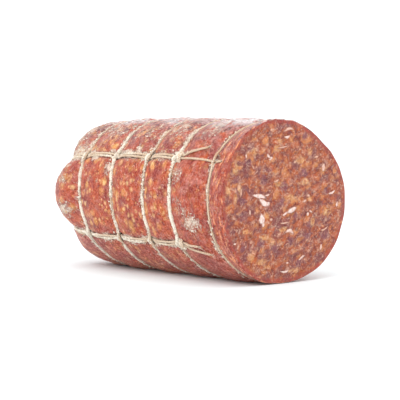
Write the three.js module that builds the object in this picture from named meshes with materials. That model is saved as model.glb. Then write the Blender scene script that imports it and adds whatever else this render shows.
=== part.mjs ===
// Half of a large spicy salami, lying on its side: a plump log cut flat at one end and rounded at
// the other, tied with five hoops of twine round it and six strings along it. Millimetres, +Z up.
// The cut face looks along +X and the log rests on a narrow flat along its underside.
//
// A point of the log is found from three numbers: its place, which is the distance from the cut
// face measured along the log and on round the end, its angle, which goes up from -Y, and its depth
// below the log's smooth shape.

import * as THREE from "three";

// Driving dimensions
const length = 210; // from the cut face to the rounded tip
const radius = 55.9; // mean radius of the log
const axisHeight = 53.9; // height of the log's axis, a little less than its radius there
const axisX = length / 2; // the cut face's place along X
const axisY = -1; // sideways place of the axis, which centres the outline
const hoopPlaces = [17, 55.5, 85, 120.5, 156.8];
const runAngles = [32, 102, 156, 204, 248, 329]; // where the strings run along the log, in degrees
const twineRadius = 0.9;
const strandApart = 2.1; // between the two strands of one run
const gap = 0.3; // clearance kept between pieces that touch

// The section: waves round it, one side pressed flat, and a back that arches between the ends
const waves = [
  { count: 2, height: 0.9, phase: 49 },
  { count: 3, height: 1.1, phase: 174 },
];
const flatSide = { angle: 132, width: 15, depth: 1.6 };
const back = { height: 1.5, end: 185 };
const bulgeHeight = 2.1; // how far the flesh swells between two hoops
const endBay = 46; // length of the swell beyond the last hoop
const rimRounding = 1.2; // how far the cut edge is worn round

// The rounded end, a lobe between each two runs
const domeStart = 158; // where the end begins to turn
const domeLength = length - domeStart;
const domePower = 2.25; // 2 is an ellipse, more is blunter
const lobeStart = 156.8;
const lobeFull = 182; // place at which the lobes have their whole height
const lobes = [
  { angle: 2, height: 6, width: 31 },
  { angle: 67, height: 2, width: 34 },
  { angle: 129, height: 3.5, width: 27 },
  { angle: 180, height: 3, width: 24 },
  { angle: 226, height: 3.5, width: 22 },
  { angle: 289, height: 2.5, width: 40 },
];
const pull = { depth: 2.6, width: 12, start: 153, full: 178 }; // how the strings draw the end in

// How the twine beds in, as depths of its centre
const hoopDepth = 0.15;
const hoopRise = 1; // how much higher a hoop passes over a run
const stringDepth = 0.3;
const pressedDepth = 1; // between the log and the table
const poleDepth = 5.4; // the lowest pair of strings at the tip
const crossing = 2 * twineRadius + gap; // from one layer of twine to the next
const bed = twineRadius + gap; // from a twine's centre to the flesh under it

// Widths of the grooves: flat out to the first number, gone at the second
const hoopGroove = [1.05, 2.7];
const runGroove = [2.4, 5.2];
const endGroove = [2.8, 9]; // a run's groove at the tip
const overRun = [2.3, 7]; // where a hoop rises over a run
const underHoop = [1.6, 6.5]; // where a string dips under a hoop
const grooveStarts = [9, 46, 46, 46, 46, 46]; // place at which each run's groove is whole
const grooveFade = 4;

// How the hoops stray from a true circle
const wobble = [0.7, 0.9, 0.8, 0.9, 0.7];
const hitches = [{ run: 0, above: 1.5, below: 1.5 }, { run: 5, above: 1.5, below: 0.5 }]; // offsets of the
const hitchReach = 8.5; // hoops on both sides of a run round which they are hitched, and their reach in degrees
const strayWidth = [3, 11]; // the flesh strays with the hoop out to here

// How far the hoops lean towards the cut face: all round, over the top and underneath
const shifts = [0.9, 1.7, 1.4, 0.3, 0];
const leans = [
  { angle: 100, width: 80, by: [8.8, 1.6, 2, 3, 2.5] },
  { angle: 285, width: 55, by: [5.5, 7, 6, 4.5, 6] },
];
const leanEnd = 182; // the flesh past the last hoop leans out to here

// Where the strands end: tucked in behind the second hoop, or as loose tails past its knot
const hoop = 1;
const tuckedEnd = { end: 50, stray: 0, loose: 0 };
const tails = [
  [{ end: 9.5, stray: -1, loose: 0 }, { end: 27, stray: 6.4, loose: 1 }],
  [tuckedEnd, tuckedEnd],
  [{ end: 30, stray: -4, loose: 1 }, { end: 36, stray: 1.5, loose: 1 }],
  [{ end: 33, stray: -2, loose: 1 }, { end: 28, stray: 4.5, loose: 1 }],
  [tuckedEnd, tuckedEnd],
  [{ end: 25.5, stray: -5, loose: 1 }, { end: 33, stray: -0.6, loose: 1 }],
];
const knots = { runs: [0, 2, 3, 5], place: 51.6, radius: 1.25, reach: 4.4, steps: 8 };
const tailLift = [4, 9]; // how far past the knot a tail leaves the groove and lies on the flesh

// Fineness of the surfaces
const twineSides = 5;
const besideRun = [2.4, 5.6]; // degrees from a run to the columns of edges next to it
const wideColumns = 6; // columns from those of one run to those of the next
const rimRows = [0, 0.35, 1.2, 8.5];
const bayRows = [0.24, 0.5, 0.76]; // shares of the way from one hoop to the next
const domeRows = 10;
const domeSpacing = 1.35; // over 1 brings the rows closer towards the tip

const radians = THREE.MathUtils.degToRad;
const smooth = THREE.MathUtils.smoothstep;
const mix = THREE.MathUtils.lerp;
const lastHoop = hoopPlaces[hoopPlaces.length - 1];

// The smaller angle between two directions, in radians
function apart(one, other) {
  return Math.abs(Math.atan2(Math.sin(one - other), Math.cos(one - other)));
}

// 1 within the first width, falling to 0 at the second
function within(distance, [first, second]) {
  return 1 - smooth(Math.abs(distance), first, second);
}

// The log's smooth profile: distance from the cut face, share of the radius, and the outward
// direction as its parts towards the tip and away from the axis
function profile(place) {
  if (place <= domeStart) return { along: place, share: 1, tip: 0, out: 1 };
  const turn = (Math.min((place - domeStart) / domeLength, 1) * Math.PI) / 2;
  const power = 2 / domePower;
  const sine = Math.sin(turn);
  const cosine = Math.max(Math.cos(turn), 0);
  const tip = sine ** (2 - power) / domeLength;
  const out = cosine ** (2 - power) / radius;
  const size = Math.hypot(tip, out);
  return {
    along: domeStart + domeLength * sine ** power,
    share: cosine ** power,
    tip: tip / size,
    out: out / size,
  };
}

// The outward direction of the log's smooth shape
function outward(place, angle) {
  const { tip, out } = profile(place);
  return new THREE.Vector3(-tip, -out * Math.cos(angle), out * Math.sin(angle));
}

// How strongly the table presses at an angle: 1 underneath, 0 elsewhere
function pressed(angle) {
  return within(apart(angle, -Math.PI / 2), [radians(8), radians(20)]);
}

// How far the twine draws the flesh in at a place: 1 at a hoop, 0 at the full swell of a bay
function waist(place) {
  const inner = hoopPlaces.filter((at) => at <= place).pop() ?? -hoopPlaces[0];
  const outer = hoopPlaces.find((at) => at > place) ?? inner + endBay;
  const share = Math.min((place - inner) / (outer - inner), 1);
  return 1 - Math.sin(Math.PI * share) ** 0.8;
}

// Sideways distance from the nearest of some runs, at a distance from the axis
function fromRun(angle, distance, runs = runAngles) {
  return Math.min(
    ...runs.map((run) => {
      const turn = apart(angle, radians(run));
      return turn < Math.PI / 2 ? distance * Math.sin(turn) : Infinity;
    }),
  );
}

// Depth of a hoop's centre, which rises over the runs that it crosses
function hoopCentre(index, angle) {
  const crossed = index === 0 ? runAngles.slice(0, 1) : runAngles;
  const over = within(fromRun(angle, radius, crossed), overRun);
  return mix(hoopDepth - hoopRise * over, pressedDepth, pressed(angle));
}

// Depth of a string's centre: under each hoop, near the surface between them, and deep at the tip
function stringCentre(place, angle) {
  const between = mix(stringDepth, pressedDepth, pressed(angle));
  const under = Math.max(...hoopPlaces.map((at) => within(place - at, underHoop)));
  const shown = mix(between, hoopCentre(hoop, angle) + crossing, under);
  return mix(shown, poleDepth, smooth(place, lastHoop + 8, length - 6));
}

// How deep the flesh lies below its smooth shape, in the grooves of the hoops and the strings
function groove(place, angle) {
  const distance = radius * profile(place).share;
  const nearest = hoopPlaces.reduce(
    (best, at, index) => (Math.abs(at - place) < Math.abs(hoopPlaces[best] - place) ? index : best), 0);
  const ofHoop = (hoopCentre(nearest, angle) + bed) * within(place - hoopPlaces[nearest], hoopGroove);
  const end = smooth(place, domeStart, length);
  const widths = runGroove.map((width, index) => mix(width, endGroove[index], end));
  const ofRuns = runAngles.map((run, index) => {
    const near = within(fromRun(angle, distance, [run]), widths);
    const begun = smooth(place, grooveStarts[index] - grooveFade, grooveStarts[index]);
    return (stringCentre(place, radians(run)) + bed) * near * begun;
  });
  return Math.max(ofHoop, ...ofRuns);
}

// Swelling of the rounded end: lobes between the runs, drawn in beside them
function endSwell(place, angle, distance) {
  const lobe = lobes.reduce((sum, { angle: centre, height, width }) => {
    const across = Math.min(apart(angle, radians(centre)) / radians(width), 1);
    return sum + height * Math.cos((across * Math.PI) / 2) ** 0.8;
  }, 0);
  const grown = smooth(place, lobeStart, lobeFull) * Math.sqrt(distance / radius);
  const drawn = Math.exp(-((fromRun(angle, distance) / pull.width) ** 2));
  return lobe * grown - pull.depth * drawn * smooth(place, pull.start, pull.full);
}

// How far a hoop leans towards the cut face at an angle
function lean(index, angle) {
  return leans.reduce((sum, { angle: centre, width, by }) => {
    const across = Math.min(apart(angle, radians(centre)) / radians(width), 1);
    return sum + (by[index] * (1 + Math.cos(across * Math.PI))) / 2;
  }, shifts[index]);
}

// How far a hoop, and the flesh beside it, strays along the log. The flesh leans with the hoops all
// the way from one to the next, except that the cut face and the tip stay where they are.
function straying(place, angle) {
  const hitched = hitches.reduce((sum, { run, above, below }) => {
    const away = angle - radians(runAngles[run]);
    if (Math.cos(away) < 0) return sum;
    const turn = Math.sin(away) / radians(hitchReach);
    return sum - (turn > 0 ? above : below) * turn * Math.exp((1 - turn ** 2) / 2);
  }, 0);
  return hoopPlaces.reduce((sum, at, index) => {
    const sway = wobble[index] * Math.sin(2 * angle + 1.7 * index) + (index ? hitched : 0);
    const before = index ? hoopPlaces[index - 1] + strayWidth[0] : 0;
    const after = index < hoopPlaces.length - 1 ? hoopPlaces[index + 1] - strayWidth[0] : leanEnd;
    const rising = (place - before) / (at - strayWidth[0] - before);
    const falling = (after - place) / (after - at - strayWidth[0]);
    const leaning = lean(index, angle) * Math.max(Math.min(rising, falling, 1), 0);
    return sum + sway * within(place - at, strayWidth) - leaning;
  }, 0);
}

// A point of the log at a depth. Nothing passes the cut face or the table.
function skinPoint(place, angle, depth) {
  const { along, share, tip, out } = profile(place);
  const wavy = waves.reduce(
    (sum, { count, height, phase }) => sum + height * Math.cos(count * angle - radians(phase)), 0);
  const flat = flatSide.depth
    * Math.exp(-((apart(angle, radians(flatSide.angle)) / radians(flatSide.width)) ** 2));
  const rim = rimRounding * (1 - Math.sqrt(1 - (1 - Math.min(place / rimRounding, 1)) ** 2));
  const arch = (back.height * Math.sin(Math.PI * Math.min(place / back.end, 1)) * (1 + Math.sin(angle))) / 2;
  const full = (radius + wavy + arch - flat - rim - bulgeHeight * waist(place)) * share;
  const swell = endSwell(place, angle, radius * share);
  const surface = full + swell * out;
  const lowest = -surface * Math.sin(angle);
  const kept = lowest > axisHeight ? axisHeight / lowest : 1;
  const reach = surface * kept - depth * out;
  return new THREE.Vector3(
    axisX - Math.max(0, along + straying(place, angle) + (swell - depth) * tip),
    axisY - reach * Math.cos(angle),
    axisHeight + reach * Math.sin(angle),
  );
}

// A surface through rows of points that each go once round. It is closed by a point at both ends
// or, without them, by joining the last row to the first.
function closedSurface(rows, first, last) {
  const count = rows[0].length;
  const points = first ? [...rows.flat(), first, last] : rows.flat();
  const joins = first ? rows.length - 1 : rows.length;
  const at = (row, column) => (row % rows.length) * count + (column % count);
  const index = [];
  for (let column = 0; column < count; column++) {
    for (let row = 0; row < joins; row++) {
      index.push(at(row, column), at(row + 1, column + 1), at(row + 1, column));
      index.push(at(row, column), at(row, column + 1), at(row + 1, column + 1));
    }
    if (first) {
      index.push(points.length - 2, at(0, column + 1), at(0, column));
      index.push(points.length - 1, at(joins, column), at(joins, column + 1));
    }
  }
  const positions = points.flatMap((point) => point.toArray());
  const geometry = new THREE.BufferGeometry();
  geometry.setAttribute("position", new THREE.Float32BufferAttribute(positions, 3));
  geometry.setIndex(index);
  geometry.computeVertexNormals();
  return geometry;
}

// Twine along a path of points that each know their way up. Every ring of its section stands
// across the path with its first corner up, so the twine doesn't twist.
function twineAlong(path, closed, size = twineRadius) {
  const count = path.length;
  const rings = path.map(({ point, up }, index) => {
    const before = path[closed ? (index + count - 1) % count : Math.max(index - 1, 0)].point;
    const after = path[closed ? (index + 1) % count : Math.min(index + 1, count - 1)].point;
    const forward = after.clone().sub(before).normalize();
    const side = new THREE.Vector3().crossVectors(forward, up).normalize();
    const top = new THREE.Vector3().crossVectors(side, forward);
    return Array.from({ length: twineSides }, (_, corner) => {
      const turn = (corner / twineSides) * 2 * Math.PI;
      return point.clone()
        .addScaledVector(top, size * Math.cos(turn))
        .addScaledVector(side, size * Math.sin(turn));
    });
  });
  return closed ? closedSurface(rings) : closedSurface(rings, path[0].point, path[count - 1].point);
}

// One point of a twine's path
function pathPoint(place, angle, depth) {
  return { point: skinPoint(place, angle, depth), up: outward(place, angle) };
}

// Angles at which the log has an edge: close together beside each run and evenly between them
function edgeAngles() {
  return runAngles.flatMap((run, index) => {
    const next = runAngles[index + 1] ?? runAngles[0] + 360;
    const [from, to] = [run + besideRun[1], next - besideRun[1]];
    const between = Array.from({ length: wideColumns + 1 }, (_, step) => mix(from, to, step / wideColumns));
    return [run, run + besideRun[0], ...between, next - besideRun[0]];
  }).map(radians);
}

// Places at which the log has a row of edges
function edgePlaces() {
  const places = [...rimRows];
  hoopPlaces.forEach((at, index) => {
    const next = hoopPlaces[index + 1];
    places.push(at - hoopGroove[1], at - hoopGroove[0], at + hoopGroove[0], at + hoopGroove[1]);
    if (next) places.push(...bayRows.map((share) => mix(at, next, share)));
  });
  for (let row = 1; row <= domeRows; row++) {
    const share = 1 - (1 - row / (domeRows + 1)) ** domeSpacing;
    places.push(mix(domeStart, length, share));
  }
  return places;
}

// The log, one piece from its flat cut face to the dimple where the strings meet
function makeLog() {
  const rows = edgePlaces().map((place) =>
    edgeAngles().map((angle) => skinPoint(place, angle, groove(place, angle))));
  const cut = new THREE.Vector3(axisX, axisY, axisHeight);
  const tip = skinPoint(length, 0, poleDepth + bed + 3 * gap).setY(axisY).setZ(axisHeight);
  return closedSurface(rows, cut, tip);
}

// A hoop, at the log's own angles so that the corners of both lie together
function makeHoop(index) {
  const path = edgeAngles().map((angle) =>
    pathPoint(hoopPlaces[index], angle, hoopCentre(index, angle)));
  return twineAlong(path, true);
}

// Half of a string, from its free end to just before the tip. Pairs that cross at the tip are
// stacked in layers.
function strandPath(run, strand, layer) {
  const angle = radians(runAngles[run]);
  const { end, stray, loose } = tails[run][strand];
  const places = edgePlaces().filter((place) => place > end + 1.5 && radius * profile(place).share > 3);
  return [end, ...places].map((place) => {
    const away = radius * profile(place).share;
    const aside = (strand - 0.5) * strandApart + stray * smooth(knots.place - place, 0, knots.place - end);
    const lifted = loose * smooth(knots.place - place, ...tailLift);
    const stacked = layer * (crossing + gap / 2) * within(away, [7, 26]);
    const depth = mix(stringCentre(place, angle), -bed, lifted) - stacked;
    return pathPoint(place, angle + Math.asin(aside / away), depth);
  });
}

// A string runs along one side of the log, over the tip and back along the other side
function makeString(run, strand) {
  const opposite = run + runAngles.length / 2;
  const path = [...strandPath(run, strand, run), ...strandPath(opposite, 1 - strand, run).reverse()];
  return twineAlong(path, false);
}

// A knot lies across both strands of a run
function makeKnot(run) {
  const angle = radians(runAngles[run]);
  const rest = -knots.radius - gap;
  const high = Math.min(stringCentre(knots.place, angle) - bed - knots.radius - 0.1, rest);
  const path = Array.from({ length: knots.steps + 1 }, (_, step) => {
    const across = mix(-1, 1, step / knots.steps);
    const over = Math.cos((across * Math.PI) / 2) ** 0.6;
    return pathPoint(knots.place, angle + (across * knots.reach) / radius, mix(rest, high, over));
  });
  return twineAlong(path, false, knots.radius);
}

const salami = new THREE.Group();

function add(name, geometry, color, roughness) {
  const material = new THREE.MeshStandardMaterial({ color, roughness, metalness: 0 });
  const mesh = new THREE.Mesh(geometry, material);
  mesh.name = name;
  salami.add(mesh);
}

const meatColour = 0xbd6a50;
const twineColour = 0xe2cfae;

add("salami", makeLog(), meatColour, 0.45);
hoopPlaces.forEach((_, index) => add(`hoop_${index + 1}`, makeHoop(index), twineColour, 0.9));
for (let run = 0; run < runAngles.length / 2; run++) {
  add(`string_${run + 1}_a`, makeString(run, 0), twineColour, 0.9);
  add(`string_${run + 1}_b`, makeString(run, 1), twineColour, 0.9);
}
knots.runs.forEach((run, index) => add(`knot_${index + 1}`, makeKnot(run), twineColour, 0.9));

export default salami;
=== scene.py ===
# Half of a large spicy salami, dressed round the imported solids: the log with its casing and cut face
# in one mesh, twisted twine with knots, hitches, tails and loose fibres, crumbs of mould, and the pale
# chips of fat in the cut.
#
# As in the part, a point of the log is found from its place, the distance in millimetres from the cut
# face along the log and on round the end, its angle up from -Y, and its depth below the smooth shape.

import math

import bpy
import numpy as np
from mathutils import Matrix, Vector


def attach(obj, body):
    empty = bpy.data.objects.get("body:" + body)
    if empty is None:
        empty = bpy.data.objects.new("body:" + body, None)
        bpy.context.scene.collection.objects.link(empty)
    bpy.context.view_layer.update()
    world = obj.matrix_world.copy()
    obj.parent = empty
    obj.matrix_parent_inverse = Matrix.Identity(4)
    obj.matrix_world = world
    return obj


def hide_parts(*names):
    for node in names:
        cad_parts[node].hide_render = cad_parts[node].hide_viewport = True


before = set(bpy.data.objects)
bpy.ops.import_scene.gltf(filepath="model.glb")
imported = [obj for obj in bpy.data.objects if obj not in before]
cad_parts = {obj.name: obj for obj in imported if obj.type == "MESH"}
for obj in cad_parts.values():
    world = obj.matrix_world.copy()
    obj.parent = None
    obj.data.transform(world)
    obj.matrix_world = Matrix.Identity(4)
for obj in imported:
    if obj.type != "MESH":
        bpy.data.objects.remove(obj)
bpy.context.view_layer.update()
print("frame loaded, nodes:", len(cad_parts))

millimetre = 0.001

# The log's sizes, the same as in the part, in millimetres and degrees
log = {
    "length": 210,
    "radius": 55.9,
    "axisHeight": 53.9,
    "axisY": -1,
    "waves": [(2, 0.9, 49), (3, 1.1, 174)],  # count, height, phase
    "flatSide": (132, 15, 1.6),  # angle, width, depth
    "back": (1.5, 185),  # height, end
    "bulge": 2.1,
    "bulgePower": 0.8,
    "endBay": 46,
    "rimRounding": 0.6,  # sharper than the part's, as the cut edge is
    "domeStart": 158,
    "domePower": 2.25,
    "lobeStart": 156.8,
    "lobeFull": 182,
    "lobePower": 0.8,
    "lobes": [  # angle, height, width
        (2, 6, 31), (67, 2, 34), (129, 3.5, 27), (180, 3, 24), (226, 3.5, 22), (289, 2.5, 40)],
    "pull": (2.6, 12, 153, 178),  # depth, width, start, full
    "keel": (2.1, 26, 26),  # how far the underside is drawn in at the cut, its width in degrees, its end
}

# The tying: where the twine goes and how deep its centre lies. The two strands of a run are a little
# closer together than in the part.
tying = {
    "hoops": [17, 55.5, 85, 120.5, 156.8],
    "runs": [32, 102, 156, 204, 248, 329],
    "twineRadius": 0.9,
    "gap": 0.3,  # between pieces of twine that cross
    "strandApart": 1.7,
    "hoopDepth": 0.15,
    "hoopRise": 1,  # over the runs
    "stringDepth": 0.3,
    "pressedDepth": 1,
    "pressedWidth": (8, 20),  # degrees to either side of straight down
    "poleDepth": 5.4,
    "sinking": (8, 6),  # a string sinks in from so far past the last hoop to so far short of the tip
    "overRun": (2.3, 7),
    "underHoop": (1.6, 6.5),
    "wobble": [0.7, 0.9, 0.8, 0.9, 0.7],
    "wobblePhase": 1.7,
    "hitches": [(0, 1.5, 1.5), (5, 1.5, 0.5)],  # run, offset above it, offset below it
    "hitchReach": 8.5,
    "strayWidth": (3, 11),
    "shifts": [0.9, 1.7, 1.4, 0.3, 0],  # towards the cut face, all round
    "leans": [  # angle, width and how far each hoop leans towards the cut face there
        (100, 80, [8.8, 1.6, 2, 3, 2.5]),
        (285, 55, [5.5, 7, 6, 4.5, 6]),
    ],
    "leanEnd": 182,
    "knotHoop": 1,
    "knotPlace": 51.6,
    "tailLift": (4, 9),
}
tucked = (50, 0, 0)
tails = [  # end, stray and looseness of each strand
    [(9.5, -1, 0), (27, 6.4, 1)],
    [tucked, tucked],
    [(30, -4, 1), (36, 1.5, 1)],
    [(33, -2, 1), (28, 4.5, 1)],
    [tucked, tucked],
    [(25.5, -5, 1), (33, -0.6, 1)],
]

length, radius = log["length"], log["radius"]
hoops, runs = np.array(tying["hoops"]), np.radians(tying["runs"])
crossing = 2 * tying["twineRadius"] + tying["gap"]
endTurn = length - log["domeStart"]


# Smoothstep from 0 at low to 1 at high
def smooth(value, low, high):
    share = np.clip((value - low) / (high - low), 0, 1)
    return share * share * (3 - 2 * share)


# 1 out to the first distance, falling to 0 at the second
def within(distance, band):
    return 1 - smooth(np.abs(distance), band[0], band[1])


# Straight mix from one value to the other
def mix(one, other, share):
    return one + (other - one) * share


# Smaller angle between two directions
def apart(one, other):
    return np.abs(np.arctan2(np.sin(one - other), np.cos(one - other)))


# Smooth random numbers from 0 to 1, one every size along each axis: a cube of random values,
# repeated for ever, mixed between its eight corners with smoothstep
latticeSide, latticeSeed, shiftStep = 32, 11, 5.37
lattice = np.random.default_rng(latticeSeed).random((latticeSide,) * 3)


def noise(points, size, shift=0):
    scaled = points / np.asarray(size) + shift * shiftStep
    cell = np.floor(scaled).astype(int)
    part = scaled - cell
    part = part * part * (3 - 2 * part)
    total = np.zeros(points.shape[:-1])
    for corner in np.ndindex(2, 2, 2):
        weight = np.prod([part[..., k] if corner[k] else 1 - part[..., k] for k in range(3)], axis=0)
        total += weight * lattice[tuple((cell[..., k] + corner[k]) % latticeSide for k in range(3))]
    return total


# Thin raised lines: 1 on the middle value of the noise, falling off on both sides
def ridges(points, size, shift=0, sharp=3):
    return (1 - np.abs(2 * noise(points, size, shift) - 1)) ** sharp


# The smooth profile: straight to the dome, then a superellipse quarter. Gives the distance along the
# axis, the share of the radius, and the outward direction's parts towards the tip and outwards
def profile(place):
    turn = np.clip((place - log["domeStart"]) / endTurn, 0, 1) * np.pi / 2
    sine, cosine, power = np.sin(turn), np.maximum(np.cos(turn), 0), 2 / log["domePower"]
    dome = place > log["domeStart"]
    along = np.where(dome, log["domeStart"] + endTurn * sine**power, place)
    share = np.where(dome, cosine**power, 1)
    tip = np.where(dome, sine ** (2 - power) / endTurn, 0)
    out = np.where(dome, cosine ** (2 - power) / radius, 1)
    size = np.hypot(tip, out)
    return along, share, tip / size, out / size


# Outward direction of the smooth shape
def outward(place, angle):
    tip, out = profile(place)[2:]
    return np.stack([-tip, -out * np.cos(angle), out * np.sin(angle)], -1)


# 1 underneath, where the twine is pressed into the flesh
def pressed(angle):
    return within(apart(angle, -np.pi / 2), np.radians(tying["pressedWidth"]))


# 1 at a hoop and 0 at the full swell of a bay: 1 minus a rounded sine of the share of the bay
def waist(place):
    count = np.sum(hoops <= place[..., None], -1)
    inner = np.concatenate([[-hoops[0]], hoops])[count]
    outer = np.concatenate([hoops, [hoops[-1] + log["endBay"]]])[count]
    share = np.clip((place - inner) / (outer - inner), 0, 1)
    return 1 - np.sin(np.pi * share) ** log["bulgePower"]


# Sideways distance from the nearest of some runs, far away on the other side of the log
def fromRun(angle, distance, which=None):
    found = np.full(np.broadcast(angle, distance).shape, 1e3)
    for run in runs if which is None else which:
        turn = apart(angle, run)
        found = np.minimum(found, np.where(turn < np.pi / 2, distance * np.sin(turn), 1e3))
    return found


# Distance along the log from the nearest hoop
def fromHoop(place):
    return np.min(np.abs(place[..., None] - hoops), -1)


# Depth of a hoop's centre, which rises over the runs that it crosses. The first hoop crosses one alone.
def hoopCentre(index, angle):
    crossed = runs[:1] if index == 0 else runs
    over = within(fromRun(angle, radius, crossed), tying["overRun"])
    return mix(tying["hoopDepth"] - tying["hoopRise"] * over, tying["pressedDepth"], pressed(angle))


# Depth of a string's centre: under each hoop, near the surface between them, and deep at the tip
def stringCentre(place, angle):
    between = mix(tying["stringDepth"], tying["pressedDepth"], pressed(angle))
    under = within(fromHoop(place), tying["underHoop"])
    shown = mix(between, hoopCentre(tying["knotHoop"], angle) + crossing, under)
    past, short = tying["sinking"]
    return mix(shown, tying["poleDepth"], smooth(place, hoops[-1] + past, length - short))


# The rounded end's lobes, each a rounded cosine across its width, and the dip beside each run
def endSwell(place, angle, distance):
    lobe = 0
    for centre, height, width in log["lobes"]:
        across = np.minimum(apart(angle, np.radians(centre)) / np.radians(width), 1)
        lobe = lobe + height * np.maximum(np.cos(across * np.pi / 2), 0) ** log["lobePower"]
    grown = smooth(place, log["lobeStart"], log["lobeFull"]) * np.sqrt(distance / radius)
    depth, width, start, full = log["pull"]
    dip = depth * np.exp(-((fromRun(angle, distance) / width) ** 2)) * smooth(place, start, full)
    return lobe * grown - dip


# How far a hoop leans towards the cut face: its shift and half a cosine wave over top and underside
def lean(index, angle):
    total = tying["shifts"][index]
    for centre, width, by in tying["leans"]:
        across = np.minimum(apart(angle, np.radians(centre)) / np.radians(width), 1)
        total = total + by[index] * (1 + np.cos(np.pi * across)) / 2
    return total


# How far hoops and the flesh beside them stray along the log: a slow sway, the hitches' steps and
# the lean, which fades evenly from each hoop to the next and to nothing at the cut and past the last
def straying(place, angle):
    hitched = 0
    for run, above, below in tying["hitches"]:
        away = angle - runs[run]
        turn = np.sin(away) / np.radians(tying["hitchReach"])
        step = np.where(turn > 0, above, below) * turn * np.exp((1 - turn**2) / 2)
        hitched = hitched - np.where(np.cos(away) < 0, 0, step)
    level = tying["strayWidth"][0]
    stops = [-level, *hoops, tying["leanEnd"] + level]
    total = 0
    for index, at in enumerate(hoops):
        phase = tying["wobblePhase"] * index
        sway = tying["wobble"][index] * np.sin(2 * angle + phase) + (hitched if index else 0)
        share = np.interp(
            place, [stops[index] + level, at - level, at + level, stops[index + 2] - level], [0, 1, 1, 0])
        total = total + sway * within(place - at, tying["strayWidth"]) - share * lean(index, angle)
    return total


# A point of the log at a depth, in millimetres. Nothing passes the cut face or the table.
def skinPoint(place, angle, depth):
    place, angle, depth = np.broadcast_arrays(*map(np.asarray, (place, angle, depth)))
    place = place.astype(float)
    along, share, tip, out = profile(place)
    wavy = sum(height * np.cos(count * angle - np.radians(phase)) for count, height, phase in log["waves"])
    centre, width, pressedIn = log["flatSide"]
    flat = pressedIn * np.exp(-((apart(angle, np.radians(centre)) / np.radians(width)) ** 2))
    worn = 1 - np.clip(place / log["rimRounding"], 0, 1)
    rim = log["rimRounding"] * (1 - np.sqrt(1 - worn**2))
    height, end = log["back"]
    arch = height * np.sin(np.pi * np.minimum(place / end, 1)) * (1 + np.sin(angle)) / 2
    drawn, width, end = log["keel"]
    keel = drawn * np.exp(-((apart(angle, -np.pi / 2) / np.radians(width)) ** 2)) * smooth(-place, -end, 0)
    full = (radius + wavy + arch - flat - rim - keel - log["bulge"] * waist(place)) * share
    swell = endSwell(place, angle, radius * share)
    surface = full + swell * out
    lowest = -surface * np.sin(angle)
    kept = np.where(lowest > log["axisHeight"], log["axisHeight"] / np.maximum(lowest, 1), 1)
    reach = surface * kept - depth * out
    return np.stack([
        length / 2 - np.maximum(0, along + straying(place, angle) + (swell - depth) * tip),
        log["axisY"] - reach * np.cos(angle),
        log["axisHeight"] + reach * np.sin(angle),
    ], -1)


# Positions from low to high, closer together where density is higher: its running sum is inverted
def spread(low, high, count, density, closed=False, steps=6000):
    fine = np.linspace(low, high, steps + 1)
    weight = np.concatenate([[0], np.cumsum(density((fine[1:] + fine[:-1]) / 2))])
    return np.interp(np.linspace(0, weight[-1], count, endpoint=not closed), weight, fine)


# Quads between neighbouring rows of points that each go once round
def gridFaces(rows, columns, closed=False):
    row, column = np.arange(rows if closed else rows - 1)[:, None], np.arange(columns)[None, :]
    nextRow, nextColumn = (row + 1) % rows, (column + 1) % columns
    corners = (row * columns + column, row * columns + nextColumn,
               nextRow * columns + nextColumn, nextRow * columns + column)
    return np.stack(np.broadcast_arrays(*corners), -1).reshape(-1, 4)


# Triangles from a pole to the row of points that starts at an index
def fanFaces(pole, start, columns, flip):
    first = start + np.arange(columns)
    second = start + (np.arange(columns) + 1) % columns
    order = (second, first) if flip else (first, second)
    return np.stack([np.full(columns, pole), *order], -1)


# Both ends of a tube or a dome of rings, whose two poles are the last of its points
def endFans(total, rings, columns):
    return np.concatenate([fanFaces(total - 2, 0, columns, True),
                           fanFaces(total - 1, (rings - 1) * columns, columns, False)])


# Quads and triangles of many small tubes or domes, one after another, each with its two poles last
def repeated(count, rings, around):
    each = rings * around + 2
    starts = (np.arange(count) * each)[:, None, None]
    quads, fans = gridFaces(rings, around) + starts, endFans(each, rings, around) + starts
    return quads.reshape(-1, 4), fans.reshape(-1, 3)


# Six times the volume inside some faces, positive when they point outwards
def signedVolume(points, faces):
    first, second, third = (points[faces[:, k]] for k in range(3))
    volume = np.einsum("ij,ij->", first, np.cross(second, third))
    if faces.shape[1] == 4:
        volume += np.einsum("ij,ij->", first, np.cross(third, points[faces[:, 3]]))
    return volume


# Puts points in millimetres and faces into a new object, with its attributes and materials. Nothing
# reaches below the floor.
def makePiece(name, points, quads, triangles, materials, attributes, slotOf=None):
    points[:, 2] = np.maximum(points[:, 2], 0)
    if signedVolume(points, quads) + signedVolume(points, triangles) < 0:
        quads, triangles = quads[:, ::-1], triangles[:, ::-1]
    mesh = bpy.data.meshes.new(name)
    mesh.from_pydata((points * millimetre).tolist(), [], quads.tolist() + triangles.tolist())
    mesh.polygons.foreach_set("use_smooth", np.ones(len(mesh.polygons), bool))
    for material in materials:
        mesh.materials.append(material)
    if slotOf is not None:
        mesh.polygons.foreach_set("material_index", slotOf.astype(np.int32))
    for key, values in attributes.items():
        kind = "FLOAT" if values.ndim == 1 else "FLOAT_VECTOR"
        field = "value" if values.ndim == 1 else "vector"
        layer = mesh.attributes.new(key, kind, "POINT")
        layer.data.foreach_set(field, values.astype(np.float32).ravel())
    mesh.update()
    piece = bpy.data.objects.new(name, mesh)
    bpy.context.scene.collection.objects.link(piece)
    return piece


# A colour of 0 to 255 as linear light
def sRgb(*parts):
    shares = np.array(parts) / 255
    linear = np.where(shares <= 0.04045, shares / 12.92, ((shares + 0.055) / 1.055) ** 2.4)
    return (*linear.tolist(), 1)


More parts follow.
